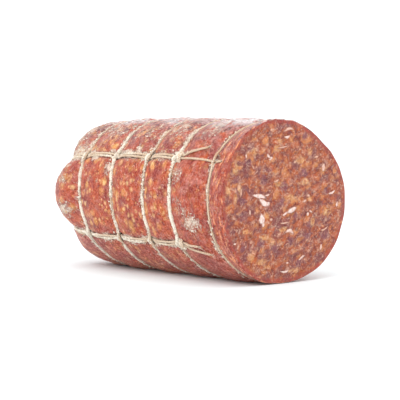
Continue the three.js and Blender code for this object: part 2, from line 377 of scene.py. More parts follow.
# A new material. Its add makes one shader node, with its settings and its inputs by name or number, and
# its finished ends it: the shader's own inputs by name, and a bump's height, strength and distance.
def newMaterial(name):
    material = bpy.data.materials.new(name)
    material.use_nodes = True
    tree = material.node_tree
    tree.nodes.clear()

    def add(kind, inputs=None, out=0, **settings):
        made = tree.nodes.new("ShaderNode" + kind)
        for key, value in settings.items():
            setattr(made, key, value)
        for key, value in (inputs or {}).items():
            if isinstance(value, bpy.types.NodeSocket):
                tree.links.new(value, made.inputs[key])
            else:
                made.inputs[key].default_value = value
        return made.outputs[out]

    def finished(inputs, height=None, bump=None):
        if bump:
            strength, distance = bump
            normal = add("Bump", {"Strength": strength, "Distance": distance, "Height": height})
            inputs = {**inputs, "Normal": normal}
        output = tree.nodes.new("ShaderNodeOutputMaterial")
        tree.links.new(add("BsdfPrincipled", inputs), output.inputs["Surface"])
        return material

    return add, finished


def attribute(add, name, vector=False):
    return add("Attribute", attribute_name=name, out="Vector" if vector else "Fac")


def objectPoint(add):
    return add("TexCoord", out="Object")


def maths(add, operation, first, second=0.0, third=0.0):
    return add("Math", {0: first, 1: second, 2: third}, operation=operation)


def times(add, first, second):
    return maths(add, "MULTIPLY", first, second)


# Sum of some values, each times its weight, and an offset
def weighed(add, terms, offset=0.0):
    total = offset
    for value, weight in reversed(terms):
        total = maths(add, "MULTIPLY_ADD", value, weight, total)
    return total


# A value carried from one range to 0 to top, smoothly
def ranged(add, value, low, high, top=1.0):
    return add("MapRange", {"Value": value, "From Min": low, "From Max": high, "To Max": top},
               interpolation_type="SMOOTHSTEP")


def blend(add, share, first, second):
    return add("Mix", {0: share, 6: first, 7: second}, out=2, data_type="RGBA")


# Noise on some coordinates, which a stretch scales first and a warp distorts
def noiseAt(add, vector, scale, detail=2.0, rough=0.5, warp=0.0, stretch=None, out="Fac"):
    if stretch:
        vector = add("VectorMath", {0: vector, 1: stretch}, operation="MULTIPLY")
    return add("TexNoise", {"Vector": vector, "Scale": scale, "Detail": detail, "Roughness": rough,
                            "Distortion": warp}, out=out)


# A vector pushed about by noise, by up to half of amount each way
def warped(add, vector, scale, amount):
    swirl = noiseAt(add, vector, scale, out="Color")
    centred = add("VectorMath", {0: swirl, 1: (0.5,) * 3}, operation="SUBTRACT")
    return add("VectorMath", {0: centred, 1: (amount,) * 3, 2: vector}, operation="MULTIPLY_ADD")


# Lines where noise is half way: the distance from there, carried from their width to 0
def linesAt(add, noise, width):
    return ranged(add, maths(add, "ABSOLUTE", maths(add, "SUBTRACT", noise, 0.5)), width, 0.0)


# Share of a layer of Voronoi cells: cells of a random kind, fading from near the middle of each outwards
def patches(add, vector, scale, kinds, reach, top=1.0):
    found = add("TexVoronoi", {"Vector": vector, "Scale": scale}, out="Color")
    kind, distance = add("SeparateColor", {0: found}, out=0), found.node.outputs["Distance"]
    return maths(add, "MULTIPLY", ranged(add, kind, *kinds, top), ranged(add, distance, *reach))


# Colours at steps of a value
def ramp(add, value, stops):
    node = add("ValToRGB", {"Fac": value}).node
    elements = node.color_ramp.elements
    while len(elements) < len(stops):
        elements.new(0.5)
    for element, (at, colour) in zip(elements, stops):
        element.position = at
        element.color = sRgb(*colour)
    return node.outputs["Color"]


grainParts = {  # factor and offset of what scales the colour and of the added grey, and the least colour
    "scaling": (0.5, 0.5),
    "grey": (0.07, -0.068),
    "least": 0.004,
}


# Grain in brightness: half of it scales the colour and half adds grey, so that its hue stays the same
def grained(add, colour, shade):
    scaling, grey = (maths(add, "MULTIPLY_ADD", shade, *grainParts[key]) for key in ("scaling", "grey"))
    scaling, grey = (add("CombineXYZ", {0: part, 1: part, 2: part}) for part in (scaling, grey))
    scaled = add("VectorMath", {0: colour, 1: scaling, 2: grey}, operation="MULTIPLY_ADD")
    return add("VectorMath", {0: scaled, 1: (grainParts["least"],) * 3}, operation="MAXIMUM")


# What paints a look: a named pattern of noise, a named fade of a value, and a named colour laid by a
# share over what is under it
def brushes(add, look):
    def pattern(name, vector):
        return noiseAt(add, vector, **look["patterns"][name])

    def fade(name, value):
        return ranged(add, value, *look["fades"][name])

    def laid(name, share, under):
        return blend(add, share, under, sRgb(*look[name]))

    return pattern, fade, laid


# Light that passes a little way into the flesh
fleshGlow = {"Subsurface Weight": 0.05, "Subsurface Radius": (0.003, 0.001, 0.0006), "Subsurface Scale": 1.0}

# Casing: brick red with orange fat showing through, pink by the twine, a pale bloom on top, pale dust with a
# painted highlight along the very top, purple-red low down, painted shadow beside the twine, oily streaks
# with painted highlights by the cut, and mould. Its patterns lie on "grain", surface coordinates in
# millimetres.
casingLook = {
    "red": (136, 38, 26),
    "orange": (174, 72, 32),
    "dark": (86, 30, 30),
    "pink": (180, 108, 96),
    "fat": (210, 146, 78),
    "paleFat": (228, 186, 126),
    "deep": (118, 36, 32),
    "scratch": (222, 174, 158),
    "bloom": (150, 104, 102),
    "smudge": (98, 44, 48),
    # pale dust and a painted highlight along the very top
    "haze": (213, 208, 208),
    "low": (164, 88, 78),
    "mould": (234, 224, 206),
    "grey": (192, 166, 150),
    # painted shadow beside the twine
    "contact": (62, 24, 18),
    # oily streaks by the cut, with a painted highlight
    "streak": (226, 150, 104),
    "bend": (0.4, 2.0),  # scale and reach of the swirls
    "patterns": {
        "broad": dict(scale=0.12, detail=3.0, rough=0.55),
        "zones": dict(scale=0.085),
        "mottle": dict(scale=0.34, detail=2.5, rough=0.55),
        "veil": dict(scale=0.2, detail=3.0, rough=0.55),
        "scratches": dict(scale=0.24, detail=3.0, rough=0.6, warp=1.6),
        "breaks": dict(scale=0.22),
        "streaks": dict(scale=0.3, detail=2.5, rough=0.6, stretch=(1.0, 0.8, 0.8)),
        "smudges": dict(scale=0.24, detail=2.5, rough=0.6, stretch=(1.0, 0.75, 0.75)),
        "pepper": dict(scale=0.75, detail=4.0, rough=0.8),
        "smears": dict(scale=0.4, detail=4.0, rough=0.7, stretch=(1.0, 0.3, 0.3)),
        "crumbs": dict(scale=0.7, detail=5.0, rough=0.8),
        "islands": dict(scale=0.22, detail=3.0, rough=0.6),
        "greys": dict(scale=1.3, detail=3.0, rough=0.7),
        "fine": dict(scale=1.0, detail=4.0, rough=0.65, stretch=(1.6, 1.0, 1.0)),
    },
    "fades": {  # where a pattern begins to show, where it is full, and its share there
        "broad": (0.36, 0.62),
        "orange": (0.45, 0.6),
        "deep": (0.45, 0.34, 0.6),
        "mottle": (0.52, 0.72, 0.75),
        "beside": (0.62, 0.36, 0.85),
        "veil": (0.46, 0.68),
        "breaks": (0.48, 0.62, 0.75),
        "bloom": (0.36, 0.62, 0.7),
        "smudges": (0.5, 0.64, 0.9),
        "haze": (0.3, 0.58, 0.85),
        "pepper": (0.3, 0.7),
        "rimDeep": (0.46, 0.34, 0.8),
        "rimStreak": (0.54, 0.64, 0.9),
        "mould": (0.3, 0.5),
        "greys": (0.42, 0.62),
    },
    "spots": [  # of fat: scale, kinds, reach, colour, and the gain and offset of its share by ripeness
        (0.17, (0.42, 0.66), (0.7, 0.1), "fat", 0.75, 0.14),
        (0.26, (0.66, 0.8), (0.62, 0.1), "paleFat", 0.5, 0.22),
        (0.44, (0.82, 0.88), (0.5, 0.1), "paleFat", 0.3, 0.35),
    ],
    "ripeOrange": (0.6, 0.15),  # gain and offset by ripeness
    "ripeVeil": (-0.35, 0.7),
    "scratchWidth": 0.022,
    "shares": {"low": 0.45, "contact": 0.92, "mould": 0.86},
    "pepperGain": (0.9, 1.0),  # its gain by bloom and low, and its own strength
    "pepperLevel": 0.97,
    "mouldEdge": (2.4, 0.9, -1.65),  # crumbs, islands and offset
    "relief": {"fine": 0.5, "mottle": 0.6, "mould": 0.8, "crumbs": 0.3},
    "bump": (0.7, 0.0006),
    "roughness": 0.3,
    "rougher": {"mould": 0.45, "fine": 0.2, "rimBand": -0.15},
}


def makeCasing():
    look = casingLook
    add, finished = newMaterial("casing")
    pattern, fade, laid = brushes(add, look)
    ripe, beside, low, bloom, haze, contact, rimBand, mouldy = (attribute(add, name) for name in (
        "ripe", "beside", "low", "bloom", "haze", "contact", "rimBand", "mould"))
    grain = attribute(add, "grain", vector=True)
    bent = warped(add, grain, *look["bend"])
    zones, crumbs, fine = (pattern(name, grain) for name in ("zones", "crumbs", "fine"))
    mottle, streaks, smears = (pattern(name, bent) for name in ("mottle", "streaks", "smears"))

    # The flesh that shows through
    colour = blend(add, fade("broad", pattern("broad", bent)), sRgb(*look["red"]), sRgb(*look["orange"]))
    riper = maths(add, "MULTIPLY_ADD", ripe, *look["ripeOrange"])
    colour = laid("orange", times(add, fade("orange", zones), riper), colour)
    colour = laid("deep", fade("deep", zones), colour)
    colour = laid("dark", fade("mottle", mottle), colour)
    for scale, kinds, reach, name, gain, base in look["spots"]:
        spot = patches(add, bent, scale, kinds, reach)
        colour = laid(name, times(add, spot, maths(add, "MULTIPLY_ADD", ripe, gain, base)), colour)

    # The skin over it
    colour = laid("pink", times(add, beside, fade("beside", mottle)), colour)
    veil = fade("veil", pattern("veil", bent))
    colour = laid("pink", times(add, veil, maths(add, "MULTIPLY_ADD", ripe, *look["ripeVeil"])), colour)
    colour = laid("low", times(add, low, look["shares"]["low"]), colour)
    scratch = linesAt(add, pattern("scratches", bent), look["scratchWidth"])
    colour = laid("scratch", times(add, scratch, fade("breaks", pattern("breaks", grain))), colour)
    colour = laid("bloom", times(add, bloom, fade("bloom", streaks)), colour)
    colour = laid("smudge", times(add, fade("smudges", pattern("smudges", bent)), bloom), colour)
    # Along the very top, pale dust together with a painted highlight
    colour = laid("haze", times(add, haze, fade("haze", streaks)), colour)
    gain = maths(add, "MULTIPLY_ADD", maths(add, "ADD", bloom, low), *look["pepperGain"])
    pepper = maths(add, "SUBTRACT", fade("pepper", pattern("pepper", grain)), 0.5)
    colour = grained(add, colour, maths(add, "MULTIPLY_ADD", pepper, gain, look["pepperLevel"]))
    # Painted shadow beside the twine and between the two strands of a run
    colour = laid("contact", times(add, contact, look["shares"]["contact"]), colour)
    # By the cut: dark smears, and bright oily streaks that carry a painted highlight
    colour = laid("deep", times(add, rimBand, fade("rimDeep", smears)), colour)
    colour = laid("streak", times(add, rimBand, fade("rimStreak", smears)), colour)

    # Mould, which breaks up into crumbs at its edges
    byCrumbs, byIslands, offset = look["mouldEdge"]
    edge = weighed(add, [(crumbs, byCrumbs), (pattern("islands", grain), byIslands)], offset)
    mould = fade("mould", maths(add, "ADD", mouldy, edge))
    greys = blend(add, fade("greys", pattern("greys", grain)), sRgb(*look["grey"]), sRgb(*look["mould"]))
    colour = blend(add, times(add, mould, look["shares"]["mould"]), colour, greys)

    values = {"fine": fine, "mottle": mottle, "mould": mould, "crumbs": crumbs, "rimBand": rimBand}
    height = weighed(add, [(values[name], weight) for name, weight in look["relief"].items()])
    rougher = [(values[name], weight) for name, weight in look["rougher"].items()]
    rough = weighed(add, rougher, look["roughness"])
    return finished({"Base Color": colour, "Roughness": rough, "Specular IOR Level": 0.3, **fleshGlow},
                    height, look["bump"])


# Cut face: coarse plum lean and orange fat smeared into a rose-brown mass. The mass is a ramp over
# swirling noise, then come soft pieces of lean and fat, broken curls of pale fat that also serve as painted
# highlights, and fine grain.
cutLook = {
    "mass": [(0.3, (114, 52, 48)), (0.42, (138, 58, 42)), (0.5, (156, 72, 42)), (0.57, (176, 90, 46)),
             (0.7, (198, 124, 74))],
    "lean": (126, 62, 62),
    "deepLean": (98, 44, 44),
    "orange": (188, 88, 36),
    "ochre": (212, 134, 76),
    "yellow": [(0.36, (190, 102, 54)), (0.46, (212, 146, 88)), (0.56, (222, 162, 106)),
               (0.66, (234, 192, 152))],
    "plum": [(0.4, (108, 54, 64)), (0.6, (138, 76, 86))],
    "peach": (218, 168, 144),
    # pale fat of the curls, also a painted highlight
    "curl": (224, 176, 152),
    "rim": (164, 60, 48),
    "slant": 32,  # degrees that the pieces lie turned
    "stretch": (1, 1.25, 0.95),
    "bends": [(0.16, 5.0), (0.34, 3.6)],  # scale and reach of the swirls, broad and fine
    "patterns": {
        "mass": dict(scale=0.19, detail=3.0, rough=0.55, warp=1.3),
        "ragged": dict(scale=0.34, detail=3.0, rough=0.55),
        "inside": dict(scale=0.5, detail=3.0, rough=0.6),
        "fine": dict(scale=1.1, detail=5.0, rough=0.7),
        "rim": dict(scale=0.5, detail=3.0),
    },
    "fades": {"rim": (0.3, 0.6, 0.9), "curls": (0.44, 0.6)},
    "pieces": [  # colour, scale, least kind, reach and share
        ("lean", 0.12, 0.52, (0.8, 0.25), 0.9),
        ("orange", 0.17, 0.62, (0.7, 0.1), 0.75),
        ("ochre", 0.19, 0.76, (0.66, 0.05), 0.8),
        ("deepLean", 0.25, 0.7, (0.62, 0.1), 0.7),
        ("peach", 0.26, 0.76, (0.62, 0.05), 0.8),
        ("lean", 0.3, 0.66, (0.6, 0.1), 0.7),
        ("orange", 0.42, 0.66, (0.55, 0.1), 0.6),
        ("peach", 0.5, 0.84, (0.5, 0.1), 0.7),
    ],
    "pieceEdge": 0.05,  # how softly one kind ends
    "pieceShift": (31, 17),  # of a layer, by its scale and its share
    "tintEdge": (2.0, -1.0),  # gain and offset of the ragged noise
    "tints": {"plum": (0.25, 0.9, 0.85), "yellow": (0.25, 0.9, 0.8)},
    "curls": [(0.17, 0.03, 0.85), (0.3, 0.035, 0.75)],  # scale, width and share
    "curlWarp": 1.8,
    "curlBreaks": 1.4,  # scale of the breaks, by that of the curls
    "shade": (0.3, 0.7, 0.54, 1.34),  # of the fine grain: from, to, darkest and lightest
    "relief": (0.8, 0.3, 0.9),  # fine grain, curls and inside
    "bump": (0.8, 0.0009),
    "roughness": (0.3, 0.25),  # gain by the fine grain, and offset
}


def makeCut():
    look = cutLook
    add, finished = newMaterial("cut face")
    pattern, fade, laid = brushes(add, look)
    grain = attribute(add, "cutGrain", vector=True)
    drawn = add("Mapping", {"Vector": grain, "Rotation": (math.radians(look["slant"]), 0, 0),
                            "Scale": look["stretch"]}, vector_type="TEXTURE")
    loose = warped(add, drawn, *look["bends"][0])
    bent = warped(add, loose, *look["bends"][1])
    inside, fine = pattern("inside", bent), pattern("fine", grain)

    colour = ramp(add, pattern("mass", loose), look["mass"])
    for name, scale, least, reach, top in look["pieces"]:
        byScale, byShare = look["pieceShift"]
        moved = add("VectorMath", {0: bent, 1: (0, byScale * scale, byShare * top)}, operation="ADD")
        share = patches(add, moved, scale, (least, least + look["pieceEdge"]), reach, top)
        colour = laid(name, share, colour)
    ragged = maths(add, "MULTIPLY_ADD", pattern("ragged", bent), *look["tintEdge"])
    for name, shown in look["tints"].items():
        share = ranged(add, maths(add, "ADD", attribute(add, name), ragged), *shown)
        colour = blend(add, share, colour, ramp(add, inside, look[name]))
    # Broken curls: pale fat, and painted highlights of the wet cut
    for scale, width, top in look["curls"]:
        curls = linesAt(add, noiseAt(add, bent, scale, 3.0, 0.6, look["curlWarp"]), width)
        breaks = ranged(add, noiseAt(add, loose, look["curlBreaks"] * scale), *look["fades"]["curls"], top)
        colour = laid("curl", times(add, curls, breaks), colour)
    low, high, darkest, lightest = look["shade"]
    shade = add("MapRange", {"Value": fine, "From Min": low, "From Max": high,
                             "To Min": darkest, "To Max": lightest})
    colour = grained(add, colour, shade)
    colour = laid("rim", times(add, attribute(add, "rim"), fade("rim", pattern("rim", bent))), colour)

    height = weighed(add, list(zip((fine, curls, inside), look["relief"])))
    rough = maths(add, "MULTIPLY_ADD", fine, *look["roughness"])
    return finished({"Base Color": colour, "Roughness": rough, "Specular IOR Level": 0.4, **fleshGlow},
                    height, look["bump"])


# Pale fat of the chips in the cut face, from ochre to white by a chip's tone, and browner at its rim
fatLook = {
    "ochre": (190, 130, 70),
    "rose": (206, 152, 124),
    "white": (226, 202, 194),
    "vein": (184, 122, 100),
    "rim": (150, 84, 62),
    "patterns": {"soft": dict(scale=600.0, detail=3.0, rough=0.6), "edge": dict(scale=900.0)},
    "fades": {"rose": (0.0, 0.4), "white": (0.4, 0.95), "vein": (0.6, 0.35, 0.5), "rim": (0.95, 1.4, 0.9)},
    "raggedRim": 0.7,
    "bump": (0.4, 0.0002),
    "roughness": 0.38,
    "glow": {
        "Subsurface Weight": 0.15, "Subsurface Radius": (0.003, 0.002, 0.0015), "Subsurface Scale": 1.0},
}


def makeFat():
    look = fatLook
    add, finished = newMaterial("pale fat")
    pattern, fade, laid = brushes(add, look)
    point, tone = objectPoint(add), attribute(add, "tone")
    soft = pattern("soft", point)
    colour = laid("rose", fade("rose", tone), sRgb(*look["ochre"]))
    colour = laid("white", fade("white", tone), colour)
    colour = laid("vein", fade("vein", soft), colour)
    edge = maths(add, "MULTIPLY_ADD", pattern("edge", point), look["raggedRim"], attribute(add, "rim"))
    colour = laid("rim", fade("rim", edge), colour)
    return finished({"Base Color": colour, "Roughness": look["roughness"], **look["glow"]},
                    soft, look["bump"])


# Twine: cream cotton, with painted shade in the valleys between its plies, and a pale crust of mould
twineLook = {
    "cotton": (226, 203, 176),
    "shade": (138, 98, 66),
    "stain": (186, 142, 104),
    "crust": (228, 219, 203),
    "pores": (164, 144, 112),
    "patterns": {
        "fibre": dict(scale=1.0, detail=3.0, rough=0.6, stretch=(0.6, 5.0, 5.0)),
        "stains": dict(scale=0.12),
        "crumbs": dict(scale=1.3, detail=3.0, rough=0.7),
        "pores": dict(scale=1.6, detail=3.0, rough=0.7),
    },
    "fades": {
        "stains": (0.5, 0.7, 0.6),
        "fibre": (0.35, 0.7, 0.35),
        "crust": (0.62, 1.0),
        "pores": (0.46, 0.34),
    },
    "crumbling": 1.1,
    "relief": (0.6, 0.8),  # fibre and crumbs
    "bump": (0.6, 0.0003),
    "roughness": 0.9,
    "sheen": 0.2,
}


def makeTwineMaterial():
    look = twineLook
    add, finished = newMaterial("twine")
    pattern, fade, laid = brushes(add, look)
    inMillimetres = (1 / millimetre,) * 3
    point = add("VectorMath", {0: objectPoint(add), 1: inMillimetres}, operation="MULTIPLY")
    fibre, crumbs = pattern("fibre", attribute(add, "lay", vector=True)), pattern("crumbs", point)
    # Painted shade in the valleys between the plies
    colour = laid("shade", attribute(add, "valley"), sRgb(*look["cotton"]))
    colour = laid("stain", fade("stains", pattern("stains", point)), colour)
    colour = laid("shade", fade("fibre", fibre), colour)
    crust = maths(add, "MULTIPLY_ADD", crumbs, look["crumbling"], attribute(add, "crust"))
    mould = laid("pores", fade("pores", pattern("pores", point)), sRgb(*look["crust"]))
    colour = blend(add, fade("crust", crust), colour, mould)
    height = weighed(add, list(zip((fibre, crumbs), look["relief"])))
    return finished({"Base Color": colour, "Roughness": look["roughness"], "Sheen Weight": look["sheen"]},
                    height, look["bump"])


casingMaterial, cutMaterial = makeCasing(), makeCut()
fatMaterial, twineMaterial = makeFat(), makeTwineMaterial()
print("materials made")

# The log's surface in the scene: how fine it is, how the twine presses in, and its relief. A pair of
# widths is where a thing is full and where it ends.
flesh = {
    "columns": 360,
    "rows": 216,
    "rings": 52,
    "rowDensity": (0.55, 1.2, 3, 1.35),  # everywhere, more by a hoop and by the cut, times this on the dome
    "columnDensity": (0.8, 0.9),  # everywhere, more by a run
    "tipGap": 0.35,
    "tipDimple": 1.6,
    "hoopBed": 0.5,  # from a hoop's centre to the flesh under it
    "hoopGroove": (0.5, 2.5),
    "runGroove": (1.6, 4.6),
    "endGroove": (2.6, 8.5),
    "endBed": 0.8,  # deeper towards the tip
    "runStart": [9, 46, 46, 46, 46, 46],  # where the groove of each run begins, over a fade
    "runFade": 4,
    "runHalf": 1.6,  # half of the width of two strands
    "nearHoop": 0.9,
    "nearRun": 0.4,
    "nearRunFrom": (38, 52),
    "lumps": 0.36,
    "lumpSizes": ((4, 6, 6), 2.6),  # broad, and small ones of half the height
    "wrinkles": 0.2,
    "wrinkleSize": (2.2, 11, 11),
    "wrinkleReach": 9,  # from the twine
    "calmReach": 3.2,  # no lumps or wrinkles so close to it
    "crust": 0.35,  # height of the mould
    "crustNoise": (0.9, 1.7),  # share and size
    "crustRange": (0.3, 0.7),
    "rimWave": (0.9, (30, 9, 9)),  # height and size
    "rimLip": 1.3,  # outwards, on the far side
    "rimFade": (4, 14),
    "pieces": (0.34, (9, 3.4, 3.4)),  # of the cut face: height and size
    "pits": (0.5, (9, 2.6, 2.6)),  # depth and size
    "tintFall": 0.8,
}

# Mould on the casing: in clumps beside the twine, a little all over the upper end, and in patches
mouldSpread = {
    "reach": 4.6,  # from the twine
    "besideTwine": (0.2, 0.42),  # everywhere and in clumps
    "clumps": (9, 0.45, 0.8),  # size, and the range of noise that they take
    "onEnd": (0.16, (150, 190), (-0.2, 0.7)),  # strength, by place and by height
    "most": 0.62,
    "least": 0.2,  # share of the radius, to keep patches by the tip in bounds
}
mouldPatches = [  # place, angle, reach in millimetres and strength
    (34, -14, 8, 0.62), (40, -6, 4.5, 0.4), (168, -11, 6, 0.62), (170, 12, 4, 0.5), (188, 26, 16, 0.62),
    (180, 58, 20, 0.5), (165, 34, 8, 0.65), (124, 23, 5, 0.62), (98, 35.5, 3, 0.8), (130, 52, 6, 0.42),
    (126, 60, 5, 0.4), (160, -30, 6, 0.5), (60, 33, 5, 0.5), (92, 150, 9, 0.5), (140, 122, 10, 0.5),
    (40, 190, 8, 0.5), (185, 140, 12, 0.4), (112, 230, 8, 0.5), (196, 250, 10, 0.35), (30, 100, 8, 0.42),
    (200, 310, 8, 0.4), (70, 262, 7, 0.4), (150, 205, 7, 0.5), (22, 140, 7, 0.45), (142, 56, 11, 0.4),
    (100, 54, 11, 0.36), (70, 57, 12, 0.38), (36, 58, 12, 0.38), (50, 18, 7, 0.38), (46, -2, 6, 0.36),
]

# Patches of the cut face that stand out: y and z from its middle, half width and half height
tints = {
    "plum": [
        (-1, 11, 4.7, 3.5), (24, -16, 3.1, 2.7), (39, -24, 3.9, 3), (-9, -30, 4.7, 3.5),
        (13, -41, 3.5, 3), (6, -26, 3.1, 3), (-38, 2, 4.7, 2.4), (-37, -8, 3.9, 3.5),
        (-19, 15, 3.9, 4.1), (-2, 0, 3.9, 3), (19, 44, 3.1, 2.4), (-33, 27, 3.9, 3), (19, 19, 4.7, 3),
        (-21, -27, 3.9, 2.4), (23, -23, 3.1, 3), (-37, -28, 3.1, 3.5), (11, -9, 3.9, 2.4),
        (39, 7, 3.1, 3), (-43, 16, 3.9, 3), (-16, 22, 4.7, 2.4), (-30, 36, 4.7, 2.4), (3, 51, 3.9, 2.4),
    ],
    "yellow": [
        (15, 28, 4.7, 3), (-7, 36, 4.7, 2.4), (24, 33, 2.7, 2.4), (-18, -22, 4.7, 2.1),
        (-11, -25, 3.9, 3), (-34, -18, 4.7, 1.8), (-44, 23, 2.3, 4.1), (-50, 10, 2.3, 5.3),
        (-44, 4, 1.6, 3.5), (40, -8, 3.9, 2.4), (24, 1, 3.1, 1.8), (27, -14, 2.3, 3.5),
        (-2, -18, 3.9, 1.8), (-21, -38, 4.7, 2.7), (-16, -42, 3.9, 1.8), (-27, 34, 3.1, 3),
        (-6, 13, 3.9, 2.4), (19, 13, 4.7, 2.4), (-30, -35, 3.1, 2.4), (-16, -8, 2.3, 2.4),
        (7, 3, 3.9, 3.5), (-40, 10, 2.3, 3.5), (37, 21, 3.1, 3.5), (-4, 41, 3.1, 1.8),
        (10, -46, 4.7, 1.8),
    ],
}


# Strength of a tint at points of the cut: the strongest of its patches, each a Gaussian ellipse
def tintAt(points, patchList):
    strength = np.zeros(points.shape[:-1])
    for y, z, wide, high in patchList:
        across = (points[..., 1] - log["axisY"] - y) / wide
        upward = (points[..., 2] - log["axisHeight"] - z) / high
        strength = np.maximum(strength, np.exp(-flesh["tintFall"] * (across**2 + upward**2)))
    return strength


# Depth of the flesh under the twine: as in the part, with the twine pressed in without a clearance
def fleshGroove(place, angle):
    distance = radius * profile(place)[1]
    nearest = np.argmin(np.abs(place[..., None] - hoops), -1)
    centre = np.choose(nearest, [hoopCentre(index, angle) for index in range(len(hoops))])
    deepest = (centre + flesh["hoopBed"]) * within(fromHoop(place), flesh["hoopGroove"])
    end = smooth(place, log["domeStart"], length)
    for index, run in enumerate(runs):
        widths = [mix(flesh["runGroove"][k], flesh["endGroove"][k], end) for k in range(2)]
        start = flesh["runStart"][index]
        near = within(fromRun(angle, distance, [run]), widths)
        near = near * smooth(place, start - flesh["runFade"], start)
        bed = stringCentre(place, run) + flesh["hoopBed"] + flesh["endBed"] * end
        deepest = np.maximum(deepest, bed * near)
    return deepest


# How close the twine is: 1 on it, 0 from reach away
def nearTwine(place, angle, reach):
    distance = radius * profile(place)[1]
    sides = fromRun(angle, distance) - flesh["runHalf"]
    byRun = within(sides, (flesh["nearRun"], reach)) * smooth(place, *flesh["nearRunFrom"])
    return np.maximum(within(fromHoop(place), (flesh["nearHoop"], reach)), byRun)


# Surface coordinates in millimetres: the place and the girth at that place
def skinGrain(place, angle):
    girth = radius * np.sqrt(profile(place)[1])
    return np.stack([place, girth * np.cos(angle), girth * np.sin(angle)], -1)


# How mouldy the casing is. Each patch is a Gaussian spot, and the strongest of them counts.
def mouldAt(place, angle):
    share = np.maximum(profile(place)[1], mouldSpread["least"])
    mould = np.zeros(place.shape)
    for at, turn, reach, strength in mouldPatches:
        away = np.hypot(place - at, apart(angle, np.radians(turn)) * radius * share)
        mould = np.maximum(mould, strength * np.exp(-((away / reach) ** 2)))
    size, low, high = mouldSpread["clumps"]
    clumps = smooth(noise(skinGrain(place, angle), size, 3), low, high)
    least, more = mouldSpread["besideTwine"]
    mould = np.maximum(mould, nearTwine(place, angle, mouldSpread["reach"]) * (least + more * clumps))
    strength, places, heights = mouldSpread["onEnd"]
    onEnd = strength * smooth(place, *places) * smooth(np.sin(angle), *heights)
    return np.minimum(mould + onEnd, mouldSpread["most"])


# Relief of the casing: lumps away from the twine, wrinkles drawn towards it and crusts of mould, all of
# it noise, and by the cut a slow wave and a lip on the far side
def skinRelief(place, angle, skin, mould):
    broad, small = flesh["lumpSizes"]
    lumps = flesh["lumps"] * (2 * noise(skin, broad) - 1)
    lumps = lumps + 0.5 * flesh["lumps"] * (2 * noise(skin, small, 1) - 1)
    drawn = 0.35 + 0.65 * nearTwine(place, angle, flesh["wrinkleReach"])
    wrinkle = flesh["wrinkles"] * drawn * (ridges(skin, flesh["wrinkleSize"], 2) - 0.35)
    share, size = flesh["crustNoise"]
    crusted = mould + share * noise(skin, size, 4) - share / 2
    crust = flesh["crust"] * smooth(crusted, *flesh["crustRange"])
    away = 1 - nearTwine(place, angle, flesh["calmReach"])
    relief = (lumps + wrinkle) * away * smooth(place, 0, 3) + crust * smooth(place, 0.5, 2)
    wave, waveSize = flesh["rimWave"]
    byCut = wave * (noise(skin, waveSize, 19) - 0.5) + flesh["rimLip"] * np.maximum(-np.cos(angle), 0)
    return relief + byCut * (1 - smooth(place, *flesh["rimFade"]))


# Painted shadow: dark lines on the casing where it meets the twine
contact = {
    "streaks": (0.4, 0.6),  # everywhere and in streaks
    "streakNoise": (7, 0.35, 0.6),  # size and range
    "byHoop": (0.9, 2.1),
    "byRun": (0.5, 1.3),
    "runHalf": 1.65,
    "runFrom": (46, 52),
    "between": (0.4, 1.0),
    "betweenFrom": (52, 56),
    "betweenShare": 0.8,
}


# How dark the painted shadow is: beside the twine in streaks, and evenly between the two strands of a run
def twineShadowAt(place, skin, sideways):
    size, low, high = contact["streakNoise"]
    least, more = contact["streaks"]
    streaks = least + more * smooth(noise(skin, size, 13), low, high)
    byHoop = within(fromHoop(place), contact["byHoop"])
    byRun = within(sideways - contact["runHalf"], contact["byRun"]) * smooth(place, *contact["runFrom"])
    between = within(sideways, contact["between"]) * smooth(place, *contact["betweenFrom"])
    return np.maximum(streaks * np.maximum(byHoop, byRun), contact["betweenShare"] * between)


# Where the casing's looks lie, by place or by height, which is the sine of the angle
zones = {
    "bloom": (0.45, 1.0),
    "bloomShare": (0.95, 0.1),  # on top and everywhere
    # pale dust and a painted highlight along the very top
    "haze": (0.87, 0.985),
    "dustAndSheenEdge": (0.14, (24, 14, 14)),  # how uneven it is, and the size of its bays
    "dustAndSheenMore": (0.05, 26, (8, 20)),  # wider round a place
    "low": (0.15, 0.8),
    "rimBand": (13, 18),
    "ripe": (34, 84),
    "lessRipe": (0.5, (156, 185)),
    "rim": (1.0, 3.6),  # millimetres in from the edge of the cut
    "girthGrain": 0.9,  # draws the girth in, so that patterns lie round the log
}


